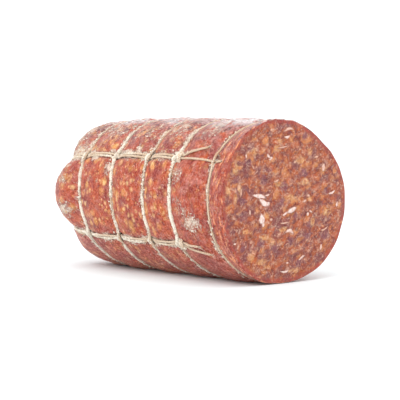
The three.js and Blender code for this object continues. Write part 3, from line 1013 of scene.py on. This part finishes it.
# The whole skin of the log: rows of casing from the cut edge to the tip, and rings across the cut
def makeLog():
    def rowDensity(place):
        least, byHoop, byCut, onDome = flesh["rowDensity"]
        density = least + byHoop * within(fromHoop(place), (2, 5)) + byCut * within(place, (0.8, 2))
        return np.where(place > log["domeStart"], onDome, 1) * density

    def columnDensity(angle):
        least, byRun = flesh["columnDensity"]
        return least + byRun * within(fromRun(angle, radius), (4, 7))

    angles = spread(0, 2 * np.pi, flesh["columns"], columnDensity, closed=True)
    places = spread(0, length - flesh["tipGap"], flesh["rows"], rowDensity)
    place, angle = np.meshgrid(places, angles, indexing="ij")
    skin = skinGrain(place, angle)
    mould = mouldAt(place, angle)
    relief = skinRelief(place, angle, skin, mould)
    casing = skinPoint(place, angle, fleshGroove(place, angle) - relief)

    shares = np.linspace(0, 1, flesh["rings"] + 1)[1:-1]
    centre = np.array([length / 2, log["axisY"], log["axisHeight"]])
    ring = centre + shares[:, None, None] * (casing[0] - centre)
    pieceHeight, pieceSize = flesh["pieces"]
    pitDepth, pitSize = flesh["pits"]
    pieces = noise(ring, pieceSize, 5) - 0.5
    hollow = smooth(noise(ring, pitSize, 6), 0.72, 0.9)
    ring[..., 0] += (pieceHeight * pieces - pitDepth * hollow) * smooth(1 - shares, 0, 0.05)[:, None]

    tip = skinPoint(length, 0.0, tying["poleDepth"] + flesh["hoopBed"] + flesh["tipDimple"])
    tip[1:] = centre[1:]
    points = np.concatenate([ring.reshape(-1, 3), casing.reshape(-1, 3), [centre, tip]])
    columns, rings, rows = flesh["columns"], len(shares), flesh["rows"]
    quads, fans = gridFaces(rings + rows, columns), endFans(len(points), rings + rows, columns)
    cut = np.concatenate([np.arange(len(quads)) < rings * columns, np.arange(len(fans)) < columns])

    # A value of each point in the order of the points: the rings, the casing, the middle and the tip
    def whole(onCut, onCasing, onTip):
        kept = onCasing.shape[2:]
        onRings = np.broadcast_to(onCut, (rings, columns) + kept)
        return np.concatenate([onRings.reshape((-1,) + kept), onCasing.reshape((-1,) + kept),
                               np.zeros((1,) + kept), np.full((1,) + kept, onTip)])

    height, none, all_ = np.sin(angle), np.zeros(place.shape), np.ones(place.shape)
    onTop, everywhere = zones["bloomShare"]
    bloom = onTop * smooth(height, *zones["bloom"]) + everywhere
    uneven, baySize = zones["dustAndSheenEdge"]
    wider, middle, reach = zones["dustAndSheenMore"]
    dustAndSheenHeight = height + uneven * (noise(skin, baySize, 41) - 0.5) + wider * within(place - middle, reach)
    less, onEnd = zones["lessRipe"]
    ripe = smooth(place, *zones["ripe"]) * (1 - less * smooth(place, *onEnd))
    fromEdge = np.linalg.norm(casing[0][:, 1:] - centre[1:], axis=-1) * (1 - shares)[:, None]
    sideways = fromRun(angle, radius * profile(place)[1])
    return makePiece("casing_and_cut", points, quads, fans, [casingMaterial, cutMaterial], {
        "grain": whole(0, skin * np.array([1, zones["girthGrain"], zones["girthGrain"]]), length),
        "cutGrain": points,
        "mould": whole(0, mould, 0.3),
        "bloom": whole(0, bloom, everywhere),
        # pale dust and a painted highlight along the very top
        "haze": whole(0, smooth(dustAndSheenHeight, *zones["haze"]), 0.1),
        "low": whole(0, smooth(-height, *zones["low"]), 0.2),
        # painted shadow beside the twine and between the strands of a run
        "contact": whole(0, twineShadowAt(place, skin, sideways), 0.5),
        "rimBand": whole(0, within(place, zones["rimBand"]) * all_, 0),
        "beside": whole(0, nearTwine(place, angle, mouldSpread["reach"]), 0.5),
        "ripe": whole(0, ripe, 0.3),
        "rim": whole(within(fromEdge, zones["rim"]), all_, 0),
        "plum": whole(tintAt(ring, tints["plum"]), none, 0),
        "yellow": whole(tintAt(ring, tints["yellow"]), none, 0),
    }, slotOf=cut)


logPiece = makeLog()
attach(logPiece, "root")
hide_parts("salami")
print("log made, faces:", len(logPiece.data.polygons))

# The twine: three plies twisted together
strand = {
    "sides": 18,
    "step": 0.42,  # between rings of its section
    "leastRings": 6,
    "pitch": 4.6,  # length of one turn of the twist
    "plies": 3,
    "valley": 0.24,  # depth between plies, as a share of the radius
    "uneven": [(0.2, 2.3, 8), (0.26, 0.9, 9)],  # height, size and seed of its noise
    "crustHeight": 0.7,
    "crustClumps": (1.6, 0.35, 0.75),  # size, and the range of noise that they take
    "endTaper": (0.7, 0.15),  # length, and the least share
    "hoopPoints": 1080,
    "hoopSize": 0.84,
    "stringSize": 0.78,
}


# Rings of a twisted section carried along a path. The section's radius is the twine's, cut in between
# the plies by the absolute cosine of the angle less the twist, and swollen where crust sits on it.
# The path is resampled to even steps, and each ring stands across it with one side facing up.
def twineAlong(path, up, crust, size, closed=False):
    if closed:
        path, up, crust = (np.concatenate([part, part[:1]]) for part in (path, up, crust))
    gone = np.concatenate([[0], np.cumsum(np.linalg.norm(np.diff(path, axis=0), axis=1))])
    count, sides = max(strand["leastRings"], int(gone[-1] / strand["step"])), strand["sides"]
    at = np.linspace(0, gone[-1], count, endpoint=not closed)
    path, up = (np.stack([np.interp(at, gone, part[:, k]) for k in range(3)], -1) for part in (path, up))
    crust = np.interp(at, gone, crust)
    if closed:
        forward = np.roll(path, -1, 0) - np.roll(path, 1, 0)
    else:
        forward = np.gradient(path, axis=0)
    forward /= np.linalg.norm(forward, axis=1)[:, None]
    side = np.cross(forward, up)
    side /= np.linalg.norm(side, axis=1)[:, None]
    top = np.cross(side, forward)

    turns = max(1, round(gone[-1] / strand["pitch"])) if closed else gone[-1] / strand["pitch"]
    turn = np.arange(sides) / sides * 2 * np.pi
    twisted = turn[None, :] - (at / gone[-1] * turns * 2 * np.pi)[:, None]
    ply = np.abs(np.cos(strand["plies"] / 2 * twisted))
    centres = path[:, None, :] + np.zeros((1, sides, 1))
    section = np.cos(turn)[None, :, None] * top[:, None] + np.sin(turn)[None, :, None] * side[:, None]
    smoothly = centres + tying["twineRadius"] * section
    uneven = sum(height * (noise(smoothly, fine, seed) - 0.5) for height, fine, seed in strand["uneven"])
    fine, low, high = strand["crustClumps"]
    clumps = smooth(noise(smoothly, fine, 10) + 0.8 * crust[:, None] - 0.4, low, high)
    clumps = clumps * np.minimum(crust[:, None] * 2, 1)
    valleys = strand["valley"] * (1 - ply**0.7) * (1 - 0.6 * clumps)
    reach = size * (1 - valleys + uneven + strand["crustHeight"] * clumps)
    if not closed:
        taper, least = strand["endTaper"]
        fromEnd = np.minimum(at, gone[-1] - at)
        reach = reach * np.sqrt(np.clip(fromEnd / taper, least, 1))[:, None]

    points = (centres + reach[..., None] * section).reshape(-1, 3)
    quads, fans = gridFaces(count, sides, closed), np.zeros((0, 3), int)
    lay = np.stack([np.broadcast_to(at[:, None], twisted.shape), np.cos(twisted), np.sin(twisted)], -1)
    fields = {
        "lay": lay.reshape(-1, 3),
        # how deep in a valley between plies, which carries the painted shade
        "valley": ((1 - ply) ** 1.5).ravel(),
        "crust": (crust[:, None] * (0.5 + 0.5 * clumps)).ravel(),
    }
    if not closed:
        points = np.concatenate([points, path[:1], path[-1:]])
        fans = endFans(len(points), count, sides)
        fields = {key: np.concatenate([values, values[:1], values[-1:]]) for key, values in fields.items()}
    if signedVolume(points, quads) < 0:
        quads, fans = quads[:, ::-1], fans[:, ::-1]
    return points, quads, fans, fields


# Joins several lengths of twine into one piece for a node
def makeTwine(name, lengths, node):
    points, quads, fans, start = [], [], [], 0
    for made in lengths:
        points.append(made[0])
        quads.append(made[1] + start)
        fans.append(made[2] + start)
        start += len(made[0])
    fields = {key: np.concatenate([made[3][key] for made in lengths]) for key in lengths[0][3]}
    piece = makePiece(name, np.concatenate(points), np.concatenate(quads), np.concatenate(fans),
                      [twineMaterial], fields)
    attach(piece, "root")
    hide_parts(node)


strandPaths = []  # of each hoop and half string: path, outward direction, and whether it starts at a free end


# Crust of mould on the twine
twineCrust = {
    "hoops": [0.25, 1.0, 0.9, 0.95, 1.0],  # amount on each, from the cut face
    "strings": 0.65,
    "hitches": 0.65,
    "knots": 0.4,
    "bySlope": (0.1, 0.66, 0.25),  # everywhere, more on upright stretches, more low down
    "clumps": (14, 0.35, 0.7),  # size, and the range of noise that they take
    "inClumps": (0.4, 0.75),  # everywhere and in clumps
}


# How much crust twine carries: most on its upright stretches, by the squared cosine, and in clumps
def crustAt(place, angle, seed):
    size, low, high = twineCrust["clumps"]
    spot = np.stack([place, radius * np.cos(angle), radius * np.sin(angle)], -1)
    clumps = smooth(noise(spot, size, seed), low, high)
    all_, upright, under = twineCrust["bySlope"]
    amount = all_ + upright * np.cos(angle) ** 2 + under * smooth(-np.sin(angle), 0.3, 0.7)
    least, more = twineCrust["inClumps"]
    return np.clip(amount * (least + more * clumps), 0, 1)


# A hoop round the log at its place, with its hitches. The first has none.
def makeHoop(index):
    angles = np.linspace(0, 2 * np.pi, strand["hoopPoints"], endpoint=False)
    place = np.full(angles.shape, hoops[index])
    crust = twineCrust["hoops"][index] * crustAt(place, angles, 20 + index)
    path, up = skinPoint(place, angles, hoopCentre(index, angles)), outward(place, angles)
    strandPaths.append((path, up, False))
    lengths = [twineAlong(path, up, crust, strand["hoopSize"], closed=True)]
    for run, *_ in tying["hitches"] if index else []:
        lengths.append(makeHitch(index, runs[run]))
    makeTwine(f"twine_hoop_{index + 1}", lengths, f"hoop_{index + 1}")


hitch = {
    "points": 60,
    "beyond": 1.5,  # along the log from the hoop
    "across": 2.7,
    "high": 1.75,
    "slant": (0.5, 0.2),
    "size": 0.8,
}


# A hitch: twine passed once round the two strands of a run beside the hoop, slanting with its step.
# Its path is an ellipse across the run, whose lower half is in the flesh.
def makeHitch(index, run):
    turn = np.linspace(0, 2 * np.pi, hitch["points"], endpoint=False)
    middle, (byCosine, bySine) = hoops[index] + hitch["beyond"], hitch["slant"]
    place = middle - byCosine * np.cos(turn) + bySine * np.sin(turn)
    depth = stringCentre(np.full(turn.shape, middle), run) - hitch["high"] * np.sin(turn)
    angle = run + hitch["across"] * np.cos(turn) / radius
    crust = np.full(turn.shape, twineCrust["hitches"] * twineCrust["hoops"][index])
    round_ = np.stack([0 * turn, -np.sin(angle), -np.cos(angle)], -1)
    up = outward(place, angle) * np.sin(turn)[:, None] - np.cos(turn)[:, None] * round_
    return twineAlong(skinPoint(place, angle, depth), up, crust, hitch["size"], closed=True)


string = {
    "turning": 190,  # place from which its points lie closer together
    "points": (700, 200),
    "nearTip": 3,  # it ends at this distance from the axis, where its other half goes on
    "weave": (0.22, 5.3, (60, 66), (-190, -150)),  # width, length over 2 pi, start and end
    "curl": 0.3,  # share of a loose tail's bend that comes late
    "looseDepth": -0.75,
    "stacking": (7, 26),  # distances from the axis over which strings lie on one another
    "crustFrom": (42, 54),
    "plainEnd": 90,  # points by the tip without loose fibres
}


# Half of a string, from its free end to just before the tip
def strandPath(run, which, layer):
    angle = runs[run]
    end, stray, loose = tails[run][which]
    byTip = np.linspace(length - 12, length, 4000)
    last = byTip[radius * profile(byTip)[1] > string["nearTip"]][-1]
    before, after = string["points"]
    place = np.concatenate([np.linspace(end, string["turning"], before),
                            np.linspace(string["turning"], last, after)[1:]])
    away = radius * profile(place)[1]
    past = np.clip((tying["knotPlace"] - place) / (tying["knotPlace"] - end), 0, 1)
    aside = (which - 0.5) * tying["strandApart"] + stray * mix(past, past * past, string["curl"])
    wide, long, begins, ends = string["weave"]
    weave = wide * np.sin(place / long + 2 * which + run) * smooth(place, *begins) * smooth(-place, *ends)
    lifted = loose * smooth(tying["knotPlace"] - place, *tying["tailLift"])
    stacked = layer * (crossing + tying["gap"] / 2) * within(away, string["stacking"])
    depth = mix(stringCentre(place, angle), string["looseDepth"], lifted) - stacked
    turned = angle + np.arcsin((aside + weave) / away)
    crust = twineCrust["strings"] * crustAt(place, np.full(place.shape, angle), 30 + run + which)
    crust = crust * smooth(place, *string["crustFrom"])
    return skinPoint(place, turned, depth), outward(place, turned), crust


# A string: one run, over the tip, and back along the run across from it
def makeString(run, which):
    other, plain = run + len(runs) // 2, -string["plainEnd"]
    halves = [strandPath(run, which, run), strandPath(other, 1 - which, run)]
    for half, at in zip(halves, (run, other)):
        strandPaths.append((half[0][:plain], half[1][:plain], tails[at][0] != tucked))
    path, up, crust = (np.concatenate([halves[0][k], halves[1][k][::-1]]) for k in range(3))
    name = f"string_{run + 1}_{'ab'[which]}"
    makeTwine("twine_" + name, [twineAlong(path, up, crust, strand["stringSize"])], name)


knot = {
    "turns": [(-1.1, 0.25, 0), (0.6, -0.2, 0), (-0.3, 1.3, 0.6)],  # shift along the log, slant, lift
    "points": 60,
    "half": 3.2,  # of its width
    "high": 2.0,  # above the strings
    "endDepth": 0.9,
    "arch": 0.6,
    "size": 0.85,
}


# A knot: two turns of twine across both strands and a third slanting over them, each an arch that is
# a power of a cosine high
def makeKnot(number, run):
    angle, at = runs[run], tying["knotPlace"]
    across = np.linspace(-1, 1, knot["points"])
    crust = np.full(across.shape, twineCrust["knots"])
    lengths = []
    for shift, slant, lift in knot["turns"]:
        place = at + shift + slant * across
        high = stringCentre(np.array(at), angle) - knot["high"] - lift
        depth = mix(knot["endDepth"], high, np.cos(across * np.pi / 2) ** knot["arch"])
        turned = angle + across * (knot["half"] + lift) / radius
        path, up = skinPoint(place, turned, depth), outward(place, turned)
        lengths.append(twineAlong(path, up, crust, knot["size"]))
    makeTwine(f"twine_knot_{number}", lengths, f"knot_{number}")


for index in range(len(hoops)):
    makeHoop(index)
for run in range(len(runs) // 2):
    makeString(run, 0)
    makeString(run, 1)
for number, run in enumerate([0, 2, 3, 5], 1):
    makeKnot(number, run)
print("twine made")

# Mould in relief, on the casing and the hoops
mouldLook = {
    "pale": (234, 226, 212),
    "grey": (190, 168, 150),
    "patterns": {"spots": dict(scale=900.0, detail=3.0, rough=0.7)},
    "fades": {"grey": (0.62, 0.36)},
    "bump": (0.5, 0.0002),
    "roughness": 0.95,
}
crumbs = {
    "seed": 7,
    "tries": 60000,
    "onCasing": 1500,
    "onTwine": 1500,
    "twineTries": 6000,
    "place": (6, 204),
    "width": (0.35, 1.0),  # half, in millimetres
    "height": (0.3, 0.75),
    "uneven": (0.7, 1.3),
    "around": 7,
    "rings": 3,
    "sunk": 0.1,  # into the casing
    "fromCentre": 0.95,  # of the twine
}


def makeMouldMaterial():
    look = mouldLook
    add, finished = newMaterial("mould")
    pattern, fade, laid = brushes(add, look)
    spots = pattern("spots", objectPoint(add))
    colour = laid("grey", fade("grey", spots), sRgb(*look["pale"]))
    return finished({"Base Color": colour, "Roughness": look["roughness"], "Specular IOR Level": 0.2},
                    spots, look["bump"])


# Crumbs: low domes with uneven outlines. Each is a few rings round its own outward direction, all worked
# out in one array. They stand where a random number is below the square of the mould there.
def makeCrumbs():
    random = np.random.default_rng(crumbs["seed"])
    place = random.uniform(*crumbs["place"], crumbs["tries"])
    angle = random.uniform(0, 2 * np.pi, crumbs["tries"])
    ragged = noise(skinGrain(place, angle), 2.1, 17)
    chance = (mouldAt(place, angle) * smooth(ragged, 0.35, 0.7)) ** 2 * np.sqrt(profile(place)[1])
    kept = np.flatnonzero(random.random(crumbs["tries"]) < chance)[:crumbs["onCasing"]]
    place, angle = place[kept], angle[kept]
    depth = fleshGroove(place, angle) - crumbs["sunk"]

    which = random.integers(0, len(hoops), crumbs["twineTries"])
    turn = random.uniform(0, 2 * np.pi, which.shape)
    crust = np.take(twineCrust["hoops"], which) ** 2 * crustAt(hoops[which], turn, 23)
    chosen = np.flatnonzero(random.random(which.shape) < crust)[:crumbs["onTwine"]]
    which, turn = which[chosen], turn[chosen]
    lean = random.normal(0, 0.8, which.shape)
    centre = np.choose(which, [hoopCentre(index, turn) for index in range(len(hoops))])
    place = np.concatenate([place, hoops[which] + crumbs["fromCentre"] * np.sin(lean)])
    angle = np.concatenate([angle, turn])
    depth = np.concatenate([depth, centre - crumbs["fromCentre"] * np.cos(lean)])

    count, around, rings = len(place), crumbs["around"], crumbs["rings"]
    up = outward(place, angle)
    along = np.cross(up, np.stack([0 * angle, np.sin(angle), np.cos(angle)], -1))
    aside = np.cross(up, along)
    wide, long, high = (random.uniform(*crumbs[key], count) for key in ("width", "width", "height"))
    round_ = np.arange(around) / around * 2 * np.pi
    share = np.sin(np.linspace(0.35, 1, rings) * np.pi / 2)[:, None] * np.ones(around)
    uneven = random.uniform(*crumbs["uneven"], (count, rings, around))
    local = [(share * np.cos(round_))[None] * uneven * wide[:, None, None],
             (share * np.sin(round_))[None] * uneven * long[:, None, None],
             np.broadcast_to(np.sqrt(1 - share**2) - 0.25, uneven.shape) * high[:, None, None] * uneven]
    base = skinPoint(place, angle, depth)
    domes = base[:, None, None] + sum(
        part[..., None] * axis[:, None, None] for part, axis in zip(local, (along, aside, up)))
    peaks, feet = base + 0.75 * high[:, None] * up, base - 0.5 * high[:, None] * up
    points = np.concatenate([domes.reshape(count, -1, 3), peaks[:, None], feet[:, None]], 1)
    quads, fans = repeated(count, rings, around)
    return makePiece("mould_crumbs", points.reshape(-1, 3), quads, fans, [makeMouldMaterial()], {})


mouldPiece = makeCrumbs()
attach(mouldPiece, "root")
print("mould made, faces:", len(mouldPiece.data.polygons))

# Frayed ends and loose fibres of the twine
fibres = {
    "seed": 9,
    "atEnds": 9,
    "loose": 420,
    "endLength": (1.6, 4.2),
    "looseLength": (1.2, 3.6),
    "endSpread": (0.35, 0.35, 0.5),  # of where they start, where they point and how they bend
    "fromCentre": 0.85,  # of the twine
    "leaving": (0.25, 0.45, 0.25),  # outwards: at once, by its bend, and how far that differs
    "thickness": 0.13,
    "taper": 0.6,
    "rings": 6,
    "around": 3,
    "crust": 0.3,
}


# Fibres: thin tapering tubes, each on a parabola that leaves along the twine and bends away
def makeFibres():
    random = np.random.default_rng(fibres["seed"])
    starts, ways, lifts, lengths = [], [], [], []
    total = sum(len(path) for path, *_ in strandPaths)
    inPlace, inWay, inBend = fibres["endSpread"]
    atOnce, bend, differing = fibres["leaving"]
    for path, up, free in strandPaths:
        if free:
            shape = (fibres["atEnds"], 3)
            way = path[0] - path[1]
            way /= np.linalg.norm(way)
            starts.append(np.repeat(path[:1], fibres["atEnds"], 0) + random.normal(0, inPlace, shape))
            ways.append(way + random.normal(0, inWay, shape))
            lifts.append(random.normal(0, inBend, shape))
            lengths.append(random.uniform(*fibres["endLength"], fibres["atEnds"]))
        count = int(fibres["loose"] * len(path) / total)
        at = random.integers(2, len(path) - 2, count)
        way = path[at + 1] - path[at - 1]
        way *= random.choice([-1, 1], count)[:, None] / np.linalg.norm(way, axis=1)[:, None]
        side = np.cross(way, up[at])
        lean = random.normal(0, 1.1, count)[:, None]
        out = np.cos(lean) * up[at] + np.sin(lean) * side
        out[np.cos(lean[:, 0]) < 0] *= -1
        starts.append(path[at] + fibres["fromCentre"] * out)
        ways.append(way + atOnce * out)
        lifts.append(bend * out + random.normal(0, differing, (count, 3)))
        lengths.append(random.uniform(*fibres["looseLength"], count))
    start, way, lift, long = (np.concatenate(part) for part in (starts, ways, lifts, lengths))
    count, rings, around = len(start), fibres["rings"], fibres["around"]
    share = np.linspace(0, 1, rings)
    parabola = way[:, None] * share[:, None] + lift[:, None] * share[:, None] ** 2
    path = start[:, None] + long[:, None, None] * parabola
    side = np.cross(way, lift)
    side /= np.linalg.norm(side, axis=1)[:, None]
    other = np.cross(side, way)
    other /= np.linalg.norm(other, axis=1)[:, None]
    turn = np.arange(around) / around * 2 * np.pi
    reach = fibres["thickness"] * (1 - fibres["taper"] * share)
    ring = np.cos(turn)[None, :, None] * side[:, None] + np.sin(turn)[None, :, None] * other[:, None]
    tubes = path[:, :, None] + reach[None, :, None, None] * ring[:, None]
    points = np.concatenate([tubes.reshape(count, -1, 3), path[:, :1], path[:, -1:]], 1).reshape(-1, 3)
    quads, fans = repeated(count, rings, around)
    plain = np.zeros(len(points))
    return makePiece("twine_fibres", points, quads, fans, [twineMaterial],
                     {"lay": points * 0.3, "valley": plain, "crust": plain + fibres["crust"]})


fibrePiece = makeFibres()
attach(fibrePiece, "root")
print("fibres made, faces:", len(fibrePiece.data.polygons))

# Chips of fat in the cut face: y and z from its middle, width, height, turn in degrees, tone from 0 for
# ochre to 1 for white, and how far a long one curls
chips = [
    (-22.6, 4.9, 9.6, 2.6, -10, 1, 0), (-18.2, 0.3, 9.6, 3.0, -20, 1, 0.5),
    (-15.8, 5.4, 4.6, 1.2, 4, 0.7, 0), (6.8, -5.3, 8.6, 2.9, 24, 1, 0.2),
    (0.6, -7.6, 4.7, 1.6, 27, 0.9, 0), (-20.6, -10.2, 4.6, 5.6, 0, 1, 0),
    (-19.8, -14.0, 2.0, 2.8, 10, 0.85, 0), (4.9, -19.5, 7.6, 2.4, -11, 0.75, -0.7),
    (-0.1, -13.6, 7.3, 1.1, 4, 0.6, 0.3), (21.8, -8.6, 2.4, 2.0, 20, 0.75, 0),
    (24.6, -7.0, 3.0, 1.4, -30, 0.75, 0), (45.3, 5.1, 5.8, 1.4, 20, 0.9, 0.2),
    (50.1, -3.0, 1.8, 4.0, -18, 0.8, 0), (37.0, 22.4, 3.0, 4.4, -7, 0.65, 0),
    (-14.6, 30.9, 4.2, 1.6, -35, 0.85, 0.3), (-12.6, 29.4, 3.4, 1.4, 30, 0.8, 0),
    (0.3, -46.1, 7.0, 1.5, 6, 0.9, 0.4), (3.8, 48.6, 8.5, 1.8, 7, 0.6, -0.5),
    (2.3, 43.4, 4.7, 1.6, 7, 0.8, 0.3), (15.8, -37.8, 5.2, 1.4, 31, 0.75, 0),
    (34.6, -31.5, 1.6, 3.8, -14, 0.75, 0), (-44.6, -25.1, 2.4, 1.2, 0, 0.8, 0),
    (-12.3, -10.9, 2.4, 1.4, 0, 0.65, 0), (-31.3, -5.3, 1.3, 3.6, 7, 0.65, 0),
    (-34.7, 31.3, 1.2, 2.6, 0, 0.7, 0), (-1.5, 36.7, 9.0, 0.8, 9, 0.6, 0.2),
    (2.4, -40.3, 2.6, 1.4, 0, 0.7, 0), (19.0, 0.4, 3.0, 1.4, 30, 0.65, 0),
    (38.0, -19.6, 6.4, 1.1, 18, 0.55, 0.4), (-39.2, 7.5, 1.2, 4.4, -4, 0.55, 0),
    (-7.6, 14.6, 4.6, 1.3, 10, 0.55, 0.4), (22.4, 3.8, 2.6, 1.6, -20, 0.6, 0),
    (29.6, 29.8, 3.6, 1.2, 10, 0.55, 0),
]
chipShape = {
    "around": 36,
    "steps": 7,
    "uneven": [(0.6, 0.9, 12), (0.3, 0.35, 14)],  # height, size and seed of the noise on its outline
    "half": (0.58, 0.6),  # of its width and of its height
    "stands": (0.12, 0.3),  # out of the face, and more by its tone
    "sinks": 0.5,
    "rough": (0.14, (9, 1.1, 1.1)),  # height and size
    "out": 0.06,
}


# A chip: a mound over an uneven outline, sunk in the face. Its height falls off with the fourth power
# of the share of the way out, its outline swells and shrinks with noise, and a curl bends it to an arc.
def makeChips():
    around, steps = chipShape["around"], chipShape["steps"]
    halfWide, halfHigh = chipShape["half"]
    least, byTone = chipShape["stands"]
    rough, roughSize = chipShape["rough"]
    face = length / 2 + chipShape["out"]
    turn = np.arange(around) / around * 2 * np.pi
    share = np.linspace(0, 1, steps + 1)[1:]
    mound = 1 - share**4
    points, quads, fans, tones, start = [], [], [], [], 0
    for number, (y, z, wide, high, turned, tone, curl) in enumerate(chips):
        spot = np.stack([np.cos(turn), np.sin(turn), np.full(turn.shape, number * 3.1)], -1)
        outline = 1 + sum(tall * (noise(spot, fine, seed) - 0.5) for tall, fine, seed in chipShape["uneven"])
        across, upward = halfWide * wide * np.cos(turn) * outline, halfHigh * high * np.sin(turn) * outline
        upward = upward + curl * high * ((2 * across / wide) ** 2 - 0.4)
        tilt = np.radians(turned)
        flat = np.stack([across * np.cos(tilt) - upward * np.sin(tilt),
                         across * np.sin(tilt) + upward * np.cos(tilt)], -1)
        middle = np.array([log["axisY"] + y, log["axisHeight"] + z])
        for height in (least + byTone * tone, -chipShape["sinks"]):
            grid = np.empty((steps, around, 3))
            grid[..., 0] = face + (height * mound)[:, None]
            grid[..., 1:] = share[:, None, None] * flat + middle
            grid[..., 0] += rough * (noise(grid, roughSize, 15) - 0.5) * mound[:, None]
            points += [grid.reshape(-1, 3), [[face + height, *middle]]]
            quad = gridFaces(steps, around) + start
            fan = fanFaces(start + steps * around, start, around, True)
            quads.append(quad if height > 0 else quad[:, ::-1])
            fans.append(fan if height > 0 else fan[:, ::-1])
            start += steps * around + 1
        tones.append(np.full(2 * (steps * around + 1), tone))
    rims = np.tile(np.append(np.repeat(share, around), 0), 2 * len(chips))
    return makePiece("fat_chips", np.concatenate(points), np.concatenate(quads), np.concatenate(fans),
                     [fatMaterial], {"tone": np.concatenate(tones), "rim": rims})


chipPiece = makeChips()
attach(chipPiece, "root")
print("chips made")

# Floor, light and camera
studio = {
    "target": (25, 0, 55.4),
    "azimuth": 49.0,
    "elevation": 3.0,
    "distance": 957,
    "lens": 121.5,
    "sensor": 36,
    "shift": (-6.5, -4.6),  # in pixels of a picture so wide
    "pixels": 400,
    "floor": (0.86, 0.925, 0.945),
    "floorHalf": 60.0,
    "floorDrop": 0.0001,
    "world": 1.45,
    "key": 4.7,
    "keySize": 0.9,
    "keyPlace": (0.9, -0.35, 0.85),  # metres towards the camera, to its right and up
}


# A lamp or a camera at a place, looking in a direction
def placed(name, data, place, direction):
    made = bpy.data.objects.new(name, data)
    made.location = place
    made.rotation_mode = "QUATERNION"
    made.rotation_quaternion = direction.to_track_quat("-Z", "Y")
    bpy.context.scene.collection.objects.link(made)
    return made


def makeStudio():
    finished = newMaterial("floor")[1]
    material = finished({"Base Color": studio["floor"] + (1,), "Roughness": 0.7, "Specular IOR Level": 0.1})
    mesh, half = bpy.data.meshes.new("floor"), studio["floorHalf"]
    corners = [(-half, -half, 0), (half, -half, 0), (half, half, 0), (-half, half, 0)]
    mesh.from_pydata(corners, [], [(0, 1, 2, 3)])
    mesh.materials.append(material)
    floor = bpy.data.objects.new("floor", mesh)
    floor.location.z = -studio["floorDrop"]
    bpy.context.scene.collection.objects.link(floor)

    world = bpy.data.worlds.new("studio")
    bpy.context.scene.world = world
    world.use_nodes = True
    world.node_tree.nodes["Background"].inputs["Color"].default_value = (1, 1, 1, 1)
    world.node_tree.nodes["Background"].inputs["Strength"].default_value = studio["world"]

    azimuth, elevation = math.radians(studio["azimuth"]), math.radians(studio["elevation"])
    level = math.cos(elevation)
    back = Vector((math.sin(azimuth) * level, -math.cos(azimuth) * level, math.sin(elevation)))
    right = Vector((math.cos(azimuth), math.sin(azimuth), 0))
    target = Vector(studio["target"]) * millimetre
    towards, aside, above = studio["keyPlace"]
    place = back * towards + right * aside + Vector((0, 0, above))
    light = bpy.data.lights.new("key", "AREA")
    light.shape, light.size, light.energy = "DISK", studio["keySize"], studio["key"]
    placed("key", light, target + place, -place)

    lens = bpy.data.cameras.new("camera")
    lens.lens, lens.sensor_width = studio["lens"], studio["sensor"]
    lens.shift_x, lens.shift_y = (part / studio["pixels"] for part in studio["shift"])
    camera = placed("camera", lens, target + back * studio["distance"] * millimetre, -back)
    bpy.context.scene.camera = camera
    bpy.context.scene.view_settings.view_transform = "Standard"


makeStudio()
print("studio made")
